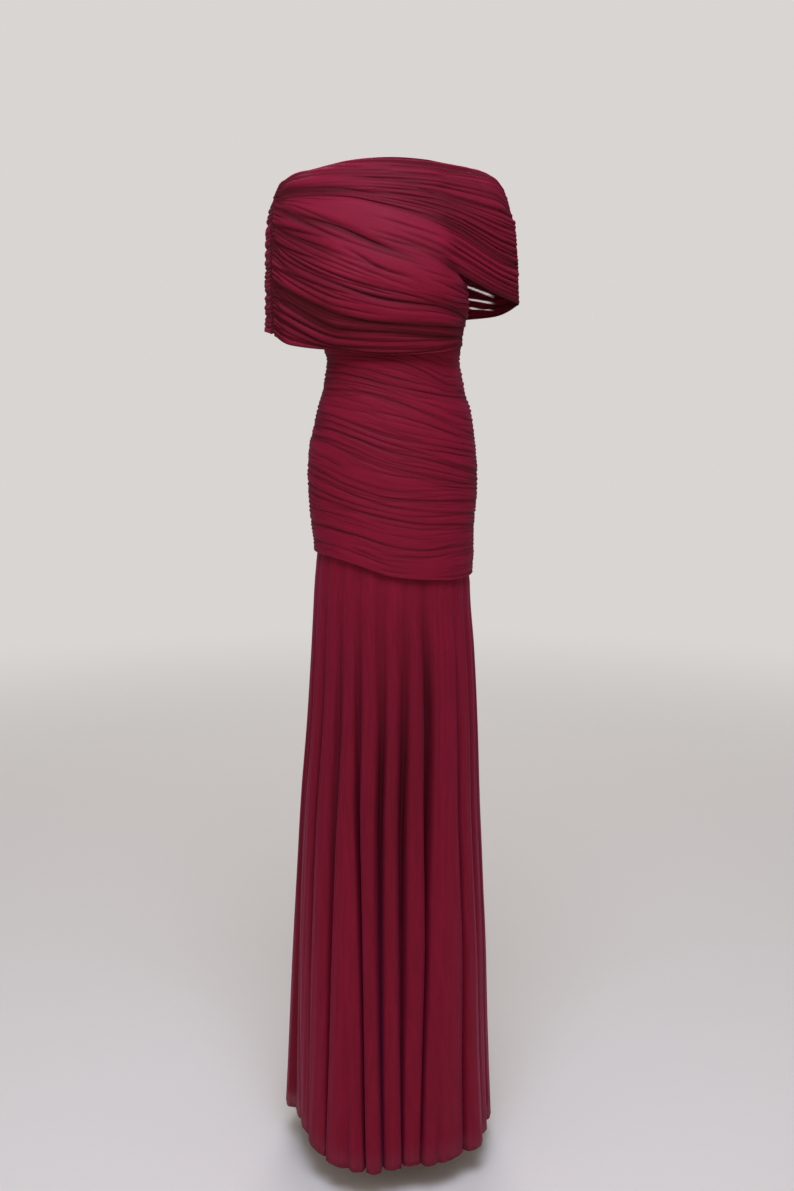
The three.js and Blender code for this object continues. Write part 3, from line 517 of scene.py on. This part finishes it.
# Angle, depth and half width of each valley at the hip, upper skirt, lower skirt and hem,
# how far the cloth after it lies inside the ring at the hem, and how far its hem is raised
flutes = table(
    "hip upper lower hem depth_hip depth_upper depth_lower depth_hem "
    "width_hip width_upper width_lower width_hem lobe rise",
    (-86, -85, -84, -82, 0.5, 8, 14, 17, 8, 7, 6, 4, 17, 16),
    (-72, -74, -77, -66, 2, 9, 14, 20, 8, 6, 5, 3, 14, 20),
    (-57, -56.5, -56, -52, 2.5, 12, 17, 19, 9, 6, 4.5, 2.5, 5, 14),
    (-41, -39, -37.5, -36.5, 2.5, 13, 16, 16, 9, 8, 5, 2.5, -1, 2),
    (-31.5, -27.8, -23.8, -21.4, 0, 0, 0, 5, 8, 8, 8, 5, -5, 0),
    (-25.5, -23, -17, -12, 3, 14, 20, 18, 9, 6, 2.6, 2, -5, 0),
    (-8.5, -6.8, -5.5, -2.5, 3, 15, 32, 22, 9, 7.5, 5, 2.2, 8, 0),
    (9.8, 8.3, 8.3, 8.8, 3, 16, 34, 26, 9, 8.5, 6, 2.2, 14, 0),
    (24, 26, 24.3, 20, 4, 22, 30, 22, 9, 8, 3.2, 2, 5, 0),
    (35, 33.5, 31.5, 29, 0.5, 0.5, 0.5, 9, 8, 8, 8, 5, 4, 0),
    (51, 50.5, 50.5, 48, 2.5, 9, 13, 17, 6, 4, 3.5, 2.5, -6, 0),
    (66.5, 66, 65, 64.5, 2.5, 10, 13, 15, 6, 4.5, 4, 3, 1, 0),
    (80, 80, 79.5, 79, 0.8, 8, 12, 15, 7, 6, 5, 3, -1, 0),
    (97, 97.5, 97.8, 98, 0.8, 9, 14, 16, 7, 5, 4.5, 3, 2, 0),
    (110, 111.1, 111.7, 112, 2.5, 17, 26, 19, 8, 7, 4, 2.2, 0, 0),
    (128, 127.5, 127.2, 127, 2.5, 20, 30, 22, 9, 8, 6, 2.2, 9, 0),
    (146, 143.8, 142.6, 142, 2.5, 16, 24, 20, 8, 5, 3, 2, 2, 0),
    (158, 156.9, 156.3, 156, 0.5, 1, 3, 8.5, 8, 8, 8, 4, -2, 0),
    (168, 169.1, 169.7, 170, 2.5, 18, 28, 20, 9, 7, 5, 2.2, 4, 0),
    (182, 182.6, 182.8, 183, 2.5, 21, 32, 24, 9, 8, 5, 2.2, 12, 0),
    (199, 197.3, 196.4, 196, 2.5, 17, 26, 21, 8, 6, 3, 2, 0, 0),
    (212, 211.4, 211.2, 211, 0.5, 1, 3, 8, 8, 8, 8, 4, -2, 0),
    (224, 225.7, 226.6, 227, 2.5, 18, 27, 20, 9, 8, 6, 2.2, 6, 0),
    (240, 241.1, 241.7, 242, 2.5, 16, 24, 19, 8, 6, 4, 2.5, 1, 4),
    (257, 257.6, 257.9, 258, 0.8, 9, 14, 16, 7, 5, 4, 3, -1, 10))


def hip_edge(angle):
    """Height of the bodice's free edge by angle round the body."""
    ahead = np.cos(np.radians(angle)) >= 0
    turned = np.where(ahead, angle, 180 - angle)
    front, back = (curve(bodice_angles, guides[-1], turned)
                   for guides in (bodice_front_guides, bodice_back_guides))
    return np.where(ahead, front, back)


def flute_inset(angle, z):
    """How far the cloth lies inside its ring: after a valley lobe u^1.7, u from 0 at the flutes'
    top to 1 at the hem, and at each valley (depth - lobe) (0.72 exp(-(d / w)^2.4) +
    0.28 exp(-(d / (2.6 w + 6))^2)) more, d mm along the ring away. Also that shape by itself,
    full where a valley is 18 mm deep, which sets the shade painted into the valleys."""
    around = np.radians(1) * (column(body_rings, "z", "right", z) - column(body_rings, "z", "left", z)) / 2
    down = np.clip((FLUTE_TOP - z) / (FLUTE_TOP - HEM), 0, 1) ** 1.7
    valleys = []
    lobe = flutes["lobe"][-1] * down
    for k in range(len(flutes["hem"])):
        centre, depth, width = (
            curve(FLUTE_LEVELS, [flutes[part + level][k] for level in ("hem", "lower", "upper", "hip")], z)
            for part in ("", "depth_", "width_"))
        lobe = np.where(angle >= centre, flutes["lobe"][k] * down, lobe)
        d = np.abs((angle - centre + 180) % 360 - 180) * around
        shape = 0.72 * np.exp(-(d / width) ** 2.4) + 0.28 * np.exp(-(d / (2.6 * width + 6)) ** 2)
        valleys.append((depth, shape))
    inset = lobe + sum((depth - lobe) * shape for depth, shape in valleys)
    return inset, sum(np.minimum(depth / 18, 1) * shape for depth, shape in valleys)


def skirt_points(angle, rows):
    """Points at angles, one row of angles a height, from under the hip edge to the hem, and how
    deep in a valley each lies. Under the edge the cloth is held 2.4 mm inside its ring, and
    below it a slow wave of 0.6 mm keeps the panels from being dead even."""
    valley, rise = flutes["hem"], flutes["rise"]
    all_round = np.r_[valley[-1] - 360, valley, valley[0] + 360]
    hem = HEM + np.interp(angle, all_round, np.r_[rise[-1], rise, rise[0]])
    edge = hip_edge(angle)
    z = edge + TUCK + (hem - edge - TUCK) * np.linspace(0, 1, rows)[:, None]
    inset, hollow = flute_inset(angle, z)
    tucked = 2.4 * (1 - ease((edge - 2 - z) / 16))
    soft = 0.6 * np.sin(0.9 * angle + 0.004 * z) * np.sin(0.37 * angle - 0.011 * z + 1.3)
    return ring_point(angle, z, soft * ease((edge - z) / 60) - tucked - inset), hollow, hem


def build_skirt(name, start, end, side, columns, rows):
    """Grid whose columns are spread evenly along the fluted cloth at every height. It is sheer
    from about 36 mm above the hem, and the shade painted into its valleys is lighter towards the hem."""
    fine = np.linspace(start, end, 2000)[None] * np.ones((rows, 1))
    points = skirt_points(fine, rows)[0]
    along = np.cumsum(np.linalg.norm(np.diff(points, axis=1), axis=-1), axis=1)
    along = np.hstack([np.zeros((rows, 1)), along / along[:, -1:]])
    even = np.linspace(0, 1, columns)
    angle = np.stack([np.interp(even, stretch, turn) for stretch, turn in zip(along, fine)])
    points, hollow, hem = skirt_points(angle, rows)
    points[:, [0, -1], 1] = SEAM_HALF * side
    z = points[..., 2]
    sheer = 0.24 * ease((hem + 36 - z) / 22)
    # Painted shade of the valleys, 40 percent lighter towards the hem
    shade = np.minimum(hollow, 1) * (1 - 0.4 * ease((-1000 - z) / 300))
    cloth = cloth_piece(name, [points], [grid_numbers(rows, columns)], -1, [1 - shade], [sheer],
                        upright=True)
    return cloth, points


skirt_front, front_points = build_skirt("skirt_front_cloth", -90, 90, -1, columns=330, rows=110)
skirt_back, back_points = build_skirt("skirt_back_cloth", 90, 270, 1, columns=330, rows=110)
for where, points in (("front", front_points), ("back", back_points)):
    path = points[-1] + np.array([0, 0, -0.3])
    rolled_edge(f"skirt_{where}_hem_edge", path, (0, 0, 1),
                                 wide=0.8, high=1.0, rise=1.0, sheer=0.25)
for where, end, way in (("left", 0, -1), ("right", -1, 1)):
    path = front_points[:, end] + np.array([0.4 * way, SEAM_HALF, 0])
    rolled_edge(f"skirt_{where}_seam", path, (way, 0, 0), wide=0.8, high=0.6, rise=0.4)
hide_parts("skirt_front")
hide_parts("skirt_back")


# Front drape
# One piece over both shoulders, gathered into the left arm seam and fanning out to the
# right one; below the right arm it is open, and its end is caught in the bodice's side.
NECK_HALF, NECK_FRONT, NECK_BACK = 122, 58, 60
DRAPE_FOLD = 5.4
# Top edge from the left shoulder's tip over the neck to the right one's, at 0 to 16; the two
# arm seams by height; x of the places between them, and y of the cloth there by height
top_edge = table(
    "at x z", (0, -177, -28), (1, -166, -21), (2, -150, -13.4), (3, -130, -8.2), (3.5, -119, -6.2),
    (4, -108, -4.4), (4.5, -96, -2.6), (5, -83, -0.8), (5.5, -69, 0.8), (6, -56, 1.7), (8, 0, 2.9),
    (10, 54, 1.5), (11, 82, -0.9), (11.5, 96, -1.6), (12, 108, -2.1), (12.5, 118, -2.9), (13, 128, -4.4),
    (13.5, 138, -6.8), (14, 148, -10.4), (15, 166, -19.6), (16, 180, -37))
left_seam = table(
    "z x y", (-28, -177, 0), (-34, -179.6, -1.6), (-48, -182.4, -13), (-75, -184, -31),
    (-110, -184, -41), (-190, -184, -46), (-270, -182, -45))
right_seam = table(
    "z x y", (-37, 180, 0), (-43, 183.4, -0.4), (-58, 189, -3), (-97, 196, -6), (-150, 201, -8),
    (-220, 203.5, -8))
front_x = [-157, -77, 0, 70, 103, 174]
front_depths = table(
    "z reach armL chestL mid chestR under armR",
    (-300, 1, -60, -84, -97, -82, -54, -40), (-240, 1, -66, -108, -119, -104, -72, -42),
    (-190, 1, -68, -114, -124, -112, -84, -42), (-100, 1, -62, -96, -107, -95, -80, -38),
    (-45, 0.97, -38, -76, -88, -76, -60, -24))
# Heights at the left seam, left arm, left and middle chest, right chest, right armpit,
# right arm and right seam, or the side of the bodice in the lower table
upper_guides = [
    (-28, -13, 1, 4, 1, 0, -24, -37), (-46, -43, -47, -52, -58, -65, -83, -88),
    (-53, -55, -60, -76, -95, -107, -146, -153), (-61, -72, -110, -136, -161, -175, -208, -217)]
lower_guides = [
    (-61, -72, -110, -136, -161, -175, -184, -189), (-110, -128, -167, -195, -214, -219, -218, -216),
    (-127, -153, -197, -218, -227, -236, -239, -240), (-182, -201, -240, -253, -257, -257, -255, -253),
    (-197, -220, -260, -265, -270, -271, -268, -265), (-232, -252, -284, -290, -286, -280, -276, -273),
    (-266, -284, -294, -300, -296, -289, -284, -281)]


def top_point(at, side):
    """Top edge: a neck opening of cos(pi x / 2 half)^0.9 between the shoulder seams."""
    x, z = column(top_edge, "at", "x", at), column(top_edge, "at", "z", at)
    opening = np.cos(np.pi / 2 * np.minimum(np.abs(x) / NECK_HALF, 1)) ** 0.9
    depth = NECK_FRONT if side < 0 else NECK_BACK
    return np.stack([x, side * (SEAM_HALF + depth * opening), z], -1)


def swept(x, y, z, place):
    """Smooth curve by place through stops with those x and y, at heights z."""
    stops = np.arange(len(x))
    return np.stack([curve(stops, np.stack(x), place), curve(stops, np.stack(y), place), z], -1)


def left_seam_point(z):
    """x and y of the left arm seam at a height, out by half of a scallop."""
    return column(left_seam, "z", "x", z) - 0.5 * scallop(z), column(left_seam, "z", "y", z)


def drape_across(spots, depths, z, place, left_z, right_z):
    """Points across the drape at heights z: a smooth curve by place through the left seam,
    the table's depths at the spots, drawn in by its reach, and the right seam, out by a
    little more than half of a scallop."""
    reach = column(depths, "z", "reach", z)
    left_x, left_y = left_seam_point(left_z)
    right_x = column(right_seam, "z", "x", right_z) + 0.6 * scallop(right_z)
    right_y = column(right_seam, "z", "y", right_z)
    between_seams = [column(depths, "z", name, z) for name in depths if name not in ("z", "reach")]
    return swept([left_x, *(spot * reach for spot in spots), right_x],
                 [left_y, *between_seams, right_y], z, place)


def shoulder_rows(base, z, place, at, levels, first, spots, depths, side):
    """Rows above the first guide line rounded over the shoulder, from the top edge down: out
    by sin and down by 1 - cos of a quarter turn, more at the tips than at the neck."""
    low = drape_across(spots, depths, first, place, first[0] + 0 * first, first[-1] + 0 * first)
    tips = (column(top_edge, "at", "x", at) / 180) ** 2
    rounding = ease(np.minimum(at, 16 - at) / 3) * (0.25 + 0.75 * tips)
    share = np.clip(levels, 0, 1)[:, None] + 0 * z
    out = share + (np.sin(share * np.pi / 2) - share) * rounding
    drop = share + (1 - np.cos(share * np.pi / 2) - share) * rounding
    top = top_point(at, side)
    rounded = top + (low - top) * np.stack([out, out, drop], -1)
    return np.where((levels < 1)[:, None, None], rounded, base)


def seam_beads(away):
    """Share of the bulge between two stitches by the distance from an arm seam in places:
    0 at the seam, fullest at 0.1, and e^-(d / 0.3)^2 further on."""
    return ease(away / 0.1) * np.exp(-(away / 0.3) ** 2)


def build_front_drape(columns, upper_rows, lower_rows, creases):
    """Upper grid from the top edge to the crease that runs to the right armpit, lower grid
    from there to the free edge. They share their points up to place 5, the right armpit; right
    of it they part, the upper one for the arm seam and the lower one for the bodice's side."""
    open_at = int(columns * 0.7)
    place = np.concatenate([np.linspace(0, 5, open_at + 1), np.linspace(5, 7, columns - open_at)[1:]])
    ends = ease(place / 0.16) * ease((7 - place) / 0.16)
    # Places at which the top edge's stops 0 to 16 lie
    stop_places = [0, 0.3, 0.62, 1, 1.4, 1.8, 2.25, 2.7, 3.15, 3.6, 4.1, 5, 5.35, 5.7, 6.1, 6.55, 7]
    at = np.interp(place, stop_places, np.arange(17))

    # Upper grid: folds die away at the top edge and at both arm seams, where beads stand
    z = guide_heights(upper_guides, place, upper_rows)
    base = drape_across(front_x, front_depths, z, place, z[:, :1] + 0 * z, z[:, -1:] + 0 * z)
    levels = np.linspace(0, 3, upper_rows)
    first = curve(np.arange(8), upper_guides[1], place)
    base = shoulder_rows(base, z, place, at, levels, first, front_x, front_depths, -1)
    height, sag = creased(place, z, creases[0], DRAPE_FOLD)
    top = ease(levels / 0.12)[:, None]
    beads = (seam_beads(place) + seam_beads(7 - place)) * scallop(z)
    upper = moved_out(base, (height * ends + beads) * top, sag * ends * top, -1)
    # Painted shade: the hollows are darker by crease height, drawn to 0.4 at both arm seams, and
    # darken a little faster towards the lower folds, which lie deeper
    fall = 1.1 + 0.2 * ease(np.linspace(-2, 1, upper_rows))[:, None]
    rises = [0.4 + ((height / DRAPE_FOLD) ** fall - 0.4) * ends]

    # Lower grid: its right end closes over the bodice, 6 mm out at 74 degrees, 2.4 at the side
    z = guide_heights(lower_guides, place, lower_rows)
    left_x, left_y = left_seam_point(z[:, :1] + 0 * z)
    near, side_seam = ring_point(74, z, 6), ring_point(90, z, 2.4)
    depths = [column(front_depths, "z", name, z) for name in ("armL", "chestL", "mid", "chestR", "under")]
    base = swept([left_x, *(spot + 0 * z for spot in front_x[:-1]), near[..., 0], side_seam[..., 0]],
                 [left_y, *depths, near[..., 1], 0 * z - SEAM_HALF], z, place)
    height, sag = creased(place, z, creases[1], DRAPE_FOLD)
    # The lower grid's hollows get the same painted shade
    rises.append(0.4 + ((height / DRAPE_FOLD) ** 1.3 - 0.4) * ends)
    lower = moved_out(base, height * ends + seam_beads(place) * scallop(z), sag * ends, -1)

    number = grid_numbers(upper_rows, columns)
    low_number = grid_numbers(lower_rows, columns, upper_rows * columns)
    low_number[0, :open_at + 1] = number[-1, :open_at + 1]
    lower[0, :open_at + 1] = upper[-1, :open_at + 1]
    used = np.unique(np.concatenate([number.ravel(), low_number.ravel()]))
    renumber = np.zeros(used.max() + 1, int)
    renumber[used] = np.arange(len(used))
    numbers = [renumber[number], renumber[low_number]]
    cloth = cloth_piece("drape_front_cloth", [upper, lower], numbers, -1, rises)
    return cloth, np.vstack([upper[:, 0], lower[1:, 0]]), upper[:, -1]


# Traced creases: the height at each of the eight places across, the places where the crease
# starts and ends, its depth as a share of the fold, and the half width of its valley
upper_creases = np.array([
    (-21, -14, -16, -21, -18, -21, -38, -45, 1.3, 2.7, 0.5, 1.8),
    (-28, -20, -12, -12, -17, -21, -40, -48, 3.0, 6.8, 0.6, 1.9),
    (-41, -42, -47, -62, -72, -80, -95, -100, 0.0, 3.4, 0.9, 3.5),
    (-41, -42, -40, -38, -57, -65, -80, -91, 3.0, 6.0, 0.8, 3),
    (-40, -40, -34, -36, -46, -53, -66, -76, 2.9, 4.8, 0.5, 1.9),
    (-42, -44, -58, -76, -94, -107, -148, -155, 1.9, 7.0, 0.95, 5),
    (-52, -62, -75, -88, -100, -111, -122, -134, 0.0, 1.6, 0.5, 2.6),
    (-56, -73, -109, -134, -161, -175, -208, -217, 3.5, 7.0, 1.0, 5.0),
    (-67, -80, -108, -144, -173, -192, -222, -232, 0.0, 3.9, 1.0, 5.4),
    (-56, -73, -106, -132, -148, -164, -190, -200, 2.55, 3.9, 0.6, 2.4),
    (-25, -11, -2, 1, -2, -3, -27, -40, 2.2, 7.0, 0.9, 1.8),
    (-33, -20, -9, -6, -10, -13, -33, -44, 2.6, 6.6, 0.7, 2.0),
    (-68, -91, -113, -123, -146, -160, -185, -195, 2.8, 4.6, 0.4, 2.6)])
lower_creases = np.array([
    (-56, -73, -109, -134, -161, -175, -184, -189, 3.5, 7.0, 1.0, 5.0),
    (-67, -80, -108, -144, -173, -192, -206, -212, 0.0, 3.9, 1.0, 5.4),
    (-56, -73, -106, -132, -148, -164, -180, -186, 2.55, 3.9, 0.6, 2.4),
    (-66, -83, -121, -141, -160, -180, -200, -210, 0.2, 1.9, 0.85, 6.0),
    (-99, -115, -150, -186, -200, -210, -220, -230, 0.0, 2.2, 0.75, 7.2),
    (-121, -137, -169, -192, -205, -220, -230, -240, 0.0, 2.0, 0.7, 6.0),
    (-189, -205, -238, -256, -262, -262, -260, -258, 0.0, 2.5, 0.85, 8.6),
    (-206, -219, -258, -272, -276, -276, -274, -270, 0.0, 2.3, 0.65, 6.0),
    (-225, -239, -273, -290, -292, -290, -286, -282, 0.0, 1.9, 0.5, 3.4),
    (-62, -82, -125, -150, -170, -188, -205, -225, 0.6, 2.4, 0.7, 2.6),
    (-93, -105, -131, -150, -168, -186, -204, -222, 0.0, 2.0, 0.8, 3),
    (-101, -119, -151, -165, -180, -195, -210, -225, 0.3, 2.3, 0.6, 2.3),
    (-96, -118, -139, -178, -194, -208, -222, -235, 1.9, 3.6, 0.6, 2.4),
    (-117, -135, -169, -190, -212, -234, -255, -277, 0.2, 1.8, 0.6, 2),
    (-168, -180, -192, -206, -222, -232, -236, -238, 2.6, 4.4, 0.5, 2),
    (-133, -156, -196, -218, -227, -235, -242, -240, 0.0, 7.0, 0.9, 4.1),
    (-187, -197, -206, -212, -221, -229, -232, -233, 3.5, 7.0, 0.6, 2),
    (-161, -174, -206, -223, -239, -247, -248, -248, 0.0, 2.4, 0.7, 2.3),
    (-161, -178, -217, -238, -250, -252, -252, -252, 0.2, 2.2, 0.7, 2.3),
    (-187, -200, -240, -253, -257, -256, -255, -253, 0.0, 7.0, 1.0, 5.7),
    (-206, -219, -260, -266, -271, -270, -268, -265, 0.0, 7.0, 1.0, 4.5),
    (-223, -239, -275, -282, -284, -280, -276, -274, 0.0, 2.0, 0.7, 2.3),
    (-232, -251, -287, -293, -292, -288, -284, -280, 0.0, 2.6, 0.8, 3.2),
    (-252, -266, -292, -298, -299, -290, -285, -281, 0.0, 2.4, 0.7, 2.2)])
# Creases that spread from the chest to the right arm seam, and from the left one to the chest
fan = between(upper_guides, np.linspace(0.15, 2.95, 32) + rng.uniform(-0.025, 0.025, 32),
              np.linspace(1.8, 4.9, 32) + rng.uniform(-1.2, 0.3, 32), 7, rng.uniform(0.5, 0.98, 32),
              rng.uniform(1.4, 2.3, 32), rng.uniform(-0.08, 0.08, 32))
shoulder_fan = between(upper_guides, np.linspace(0.2, 2.05, 20), 0, rng.uniform(0.9, 4.5, 20),
                       rng.uniform(0.3, 0.85, 20), rng.uniform(1.2, 2.2, 20), rng.uniform(-0.3, 0.3, 20))
# Faint lines of the broad smooth panel over the chest: level, start, end, depth and width
panel_lines = between(upper_guides, *np.transpose([
    (2.2, 0, 2.2, 0.35, 1.4), (2.38, 0, 0.9, 0.35, 1.4), (2.52, 0, 1.8, 0.35, 1.4),
    (2.7, 0, 1.2, 0.35, 1.4), (2.85, 0, 2.6, 0.35, 1.4), (2.42, 2.6, 4.6, 0.35, 2.2),
    (2.62, 2.9, 5.2, 0.45, 3.0), (2.8, 2.4, 4.9, 0.5, 3.2), (2.93, 3.0, 5.6, 0.4, 2.6)]))
arm_gathers = between(upper_guides, np.linspace(0.2, 2.9, 18), 0, rng.uniform(0.4, 1.1, 18), 0.7, 1.2)
side_fan = between(lower_guides, np.linspace(0.1, 5.9, 30) + rng.uniform(-0.1, 0.1, 30), 0,
                   rng.uniform(1.0, 4.5, 30), rng.uniform(0.25, 0.8, 30), rng.uniform(1.2, 2.2, 30),
                   rng.uniform(-0.5, 0.5, 30))
side_gathers = between(lower_guides, np.linspace(0.1, 5.9, 44), 0, rng.uniform(0.4, 1.2, 44), 0.75, 1.4)
# Creases that run into the end caught in the bodice's right side
bodice_side_fan = between(lower_guides, np.linspace(0.1, 5.9, 26), rng.uniform(2.6, 5.2, 26), 7,
                          rng.uniform(0.2, 0.7, 26), rng.uniform(1.2, 2.0, 26), rng.uniform(-0.4, 0.4, 26))
bodice_side_gathers = between(lower_guides, np.linspace(0.1, 5.9, 44), rng.uniform(5.4, 6.3, 44), 7,
                              0.7, 1.2)
upper_fine = scattered(upper_guides, (0.1, 2.05), count=70, length=3.2, depth=0.5, width=1.5,
                       drift=0.3, seed=21)
lower_fine = scattered(lower_guides, (0, 5.9), count=110, length=3.0, depth=0.45, width=1.5,
                       drift=0.5, seed=22)
creases = (
    np.vstack([upper_creases, fan, shoulder_fan, panel_lines, arm_gathers, upper_fine]),
    np.vstack([lower_creases, side_fan, side_gathers, bodice_side_fan, bodice_side_gathers, lower_fine]))
drape_front, left_edge, right_edge = build_front_drape(columns=138, upper_rows=160, lower_rows=182,
                                                       creases=creases)


def neck_edge(name, start, end, count, side):
    """Narrow turned edge along the top edge between two of its stops."""
    path = top_point(np.linspace(start, end, count), side) + np.array([0, 0, 0.3])
    # rise 0 gives the edge the dark tone of the hollows, a painted shade of its underside
    return rolled_edge(name, path, (0, 0, 1), wide=1.2, high=1.5, rise=0.0)


# Turned edge along both shoulders and round the neck, and the two gathered arm seams
neck_front = neck_edge("neck_front_edge", start=0, end=16, count=240, side=-1)
# Both seams get a tone near that of the hollows, a painted shade of the tight gathers, darkest on the left
arm_seams = [
    rolled_edge("left_arm_seam", left_edge[::2] + np.array([-0.4, -0.3, 0]), (-1, 0, 0),
                wide=0.9, high=0.9, rise=0.05),
    rolled_edge("right_arm_seam", right_edge + np.array([0.3, 0, 0]), (1, 0, 0),
                wide=0.9, high=0.9, rise=0.2)]
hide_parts("drape_front")


# Back drape
# One piece between the two arm seams that hangs free over the bodice's back, sheer where
# a single layer lies between two folds.
BACK_FOLD = 5.0
back_x = [-197, -166, -84, 0, 84, 170, 190]
back_depths = table(
    "z reach outL backL bladeL mid bladeR backR outR",
    (-270, 1, -8, 48, 86, 92, 84, 50, 20), (-190, 1, -6, 52, 89, 96, 88, 52, 23),
    (-100, 0.99, -2, 50, 86, 94, 86, 48, 20), (-72, 0.98, 8, 43, 78, 88, 78, 42, 19),
    (-45, 0.935, 17, 36, 68, 80, 68, 34, 18))
# Heights at the left seam, left back, middle, right back and right seam
back_guides = [
    (-28, -14, 4, -20, -37), (-46, -50, -54, -78, -88), (-92, -100, -112, -138, -146),
    (-178, -178, -184, -196, -196), (-266, -256, -246, -234, -219)]
# Single layers between folds: heights at x = 130 and x = 160, and half of the gap's height
sheer_gaps = [(-184, -197, 2.0), (-203, -210, 1.9), (-217, -222, 1.2)]


def build_back_drape(columns, rows, creases):
    """Grid from the top edge to the free lower edge between the two arm seams. The gaps
    between folds are sheer near the right arm opening, from x = 98 to x = 172."""
    place = np.linspace(0, 8, columns)
    at = place * 2
    z = guide_heights(back_guides, place / 2, rows)
    base = drape_across(back_x, back_depths, z, place, z[:, :1] + 0 * z, z[:, -1:] + 0 * z)
    first = curve(np.arange(5), back_guides[1], place / 2)
    levels = np.linspace(0, 4, rows)
    base = shoulder_rows(base, z, place, at, levels, first, back_x, back_depths, 1)
    from_seam = np.minimum(place, 8 - place)
    top = ease(levels / 0.12)[:, None]
    ends = ease(from_seam / 0.12) * (0.6 + 0.4 * ease(from_seam / 1.2)) * top
    height, sag = creased(place / 2, z, creases, BACK_FOLD)
    beads = seam_beads(from_seam) * scallop(z + 3) * top
    grid = moved_out(base, height * ends + beads, sag * ends, 1)
    # Painted shade: the hollows darker by crease height, and the cloth dark next to both arm seams
    rise = 0.1 + (height / BACK_FOLD - 0.1) * ease(from_seam / 0.3)
    sheer = np.zeros_like(z)
    for left_z, right_z, half in sheer_gaps:
        line = left_z + (right_z - left_z) * (base[..., 0] - 130) / 30
        sheer = np.maximum(sheer, ease((half - np.abs(z - line)) / 1.2 + 0.5))
    sheer *= ease((base[..., 0] - 98) / 16) * ease((172 - base[..., 0]) / 14)
    return cloth_piece("drape_back_cloth", [grid], [grid_numbers(rows, columns)], 1, [rise], [sheer])


# Main folds from seam to seam, fans from the left and the right, fine creases and gathers
drape_back = build_back_drape(columns=130, rows=290, creases=np.vstack([
    between(back_guides, np.arange(0.3, 4, 0.42), -1, 5, rng.uniform(0.6, 1, 9), 3.2,
            rng.uniform(-0.1, 0.1, 9)),
    between(back_guides, np.arange(0.2, 4, 0.15), -1, rng.uniform(1, 3.5, 26), rng.uniform(0.2, 0.8, 26),
            rng.uniform(1.3, 2.4, 26), rng.uniform(-0.2, 0.2, 26)),
    between(back_guides, np.arange(0.2, 4, 0.15), rng.uniform(0.5, 3, 26), 5, rng.uniform(0.2, 0.8, 26),
            rng.uniform(1.3, 2.4, 26), rng.uniform(-0.2, 0.2, 26)),
    scattered(back_guides, (0.1, 4), count=90, length=2.0, depth=0.5, width=1.6, drift=0.3, seed=31),
    between(back_guides, np.linspace(0.2, 3.9, 46), -1, rng.uniform(0.2, 0.9, 46), 0.8, 1.5),
    between(back_guides, np.linspace(0.2, 3.9, 46), rng.uniform(3.1, 3.8, 46), 5, 0.8, 1.5)]))
neck_back = neck_edge("neck_back_edge", start=3.4, end=12.8, count=130, side=1)
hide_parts("drape_back")
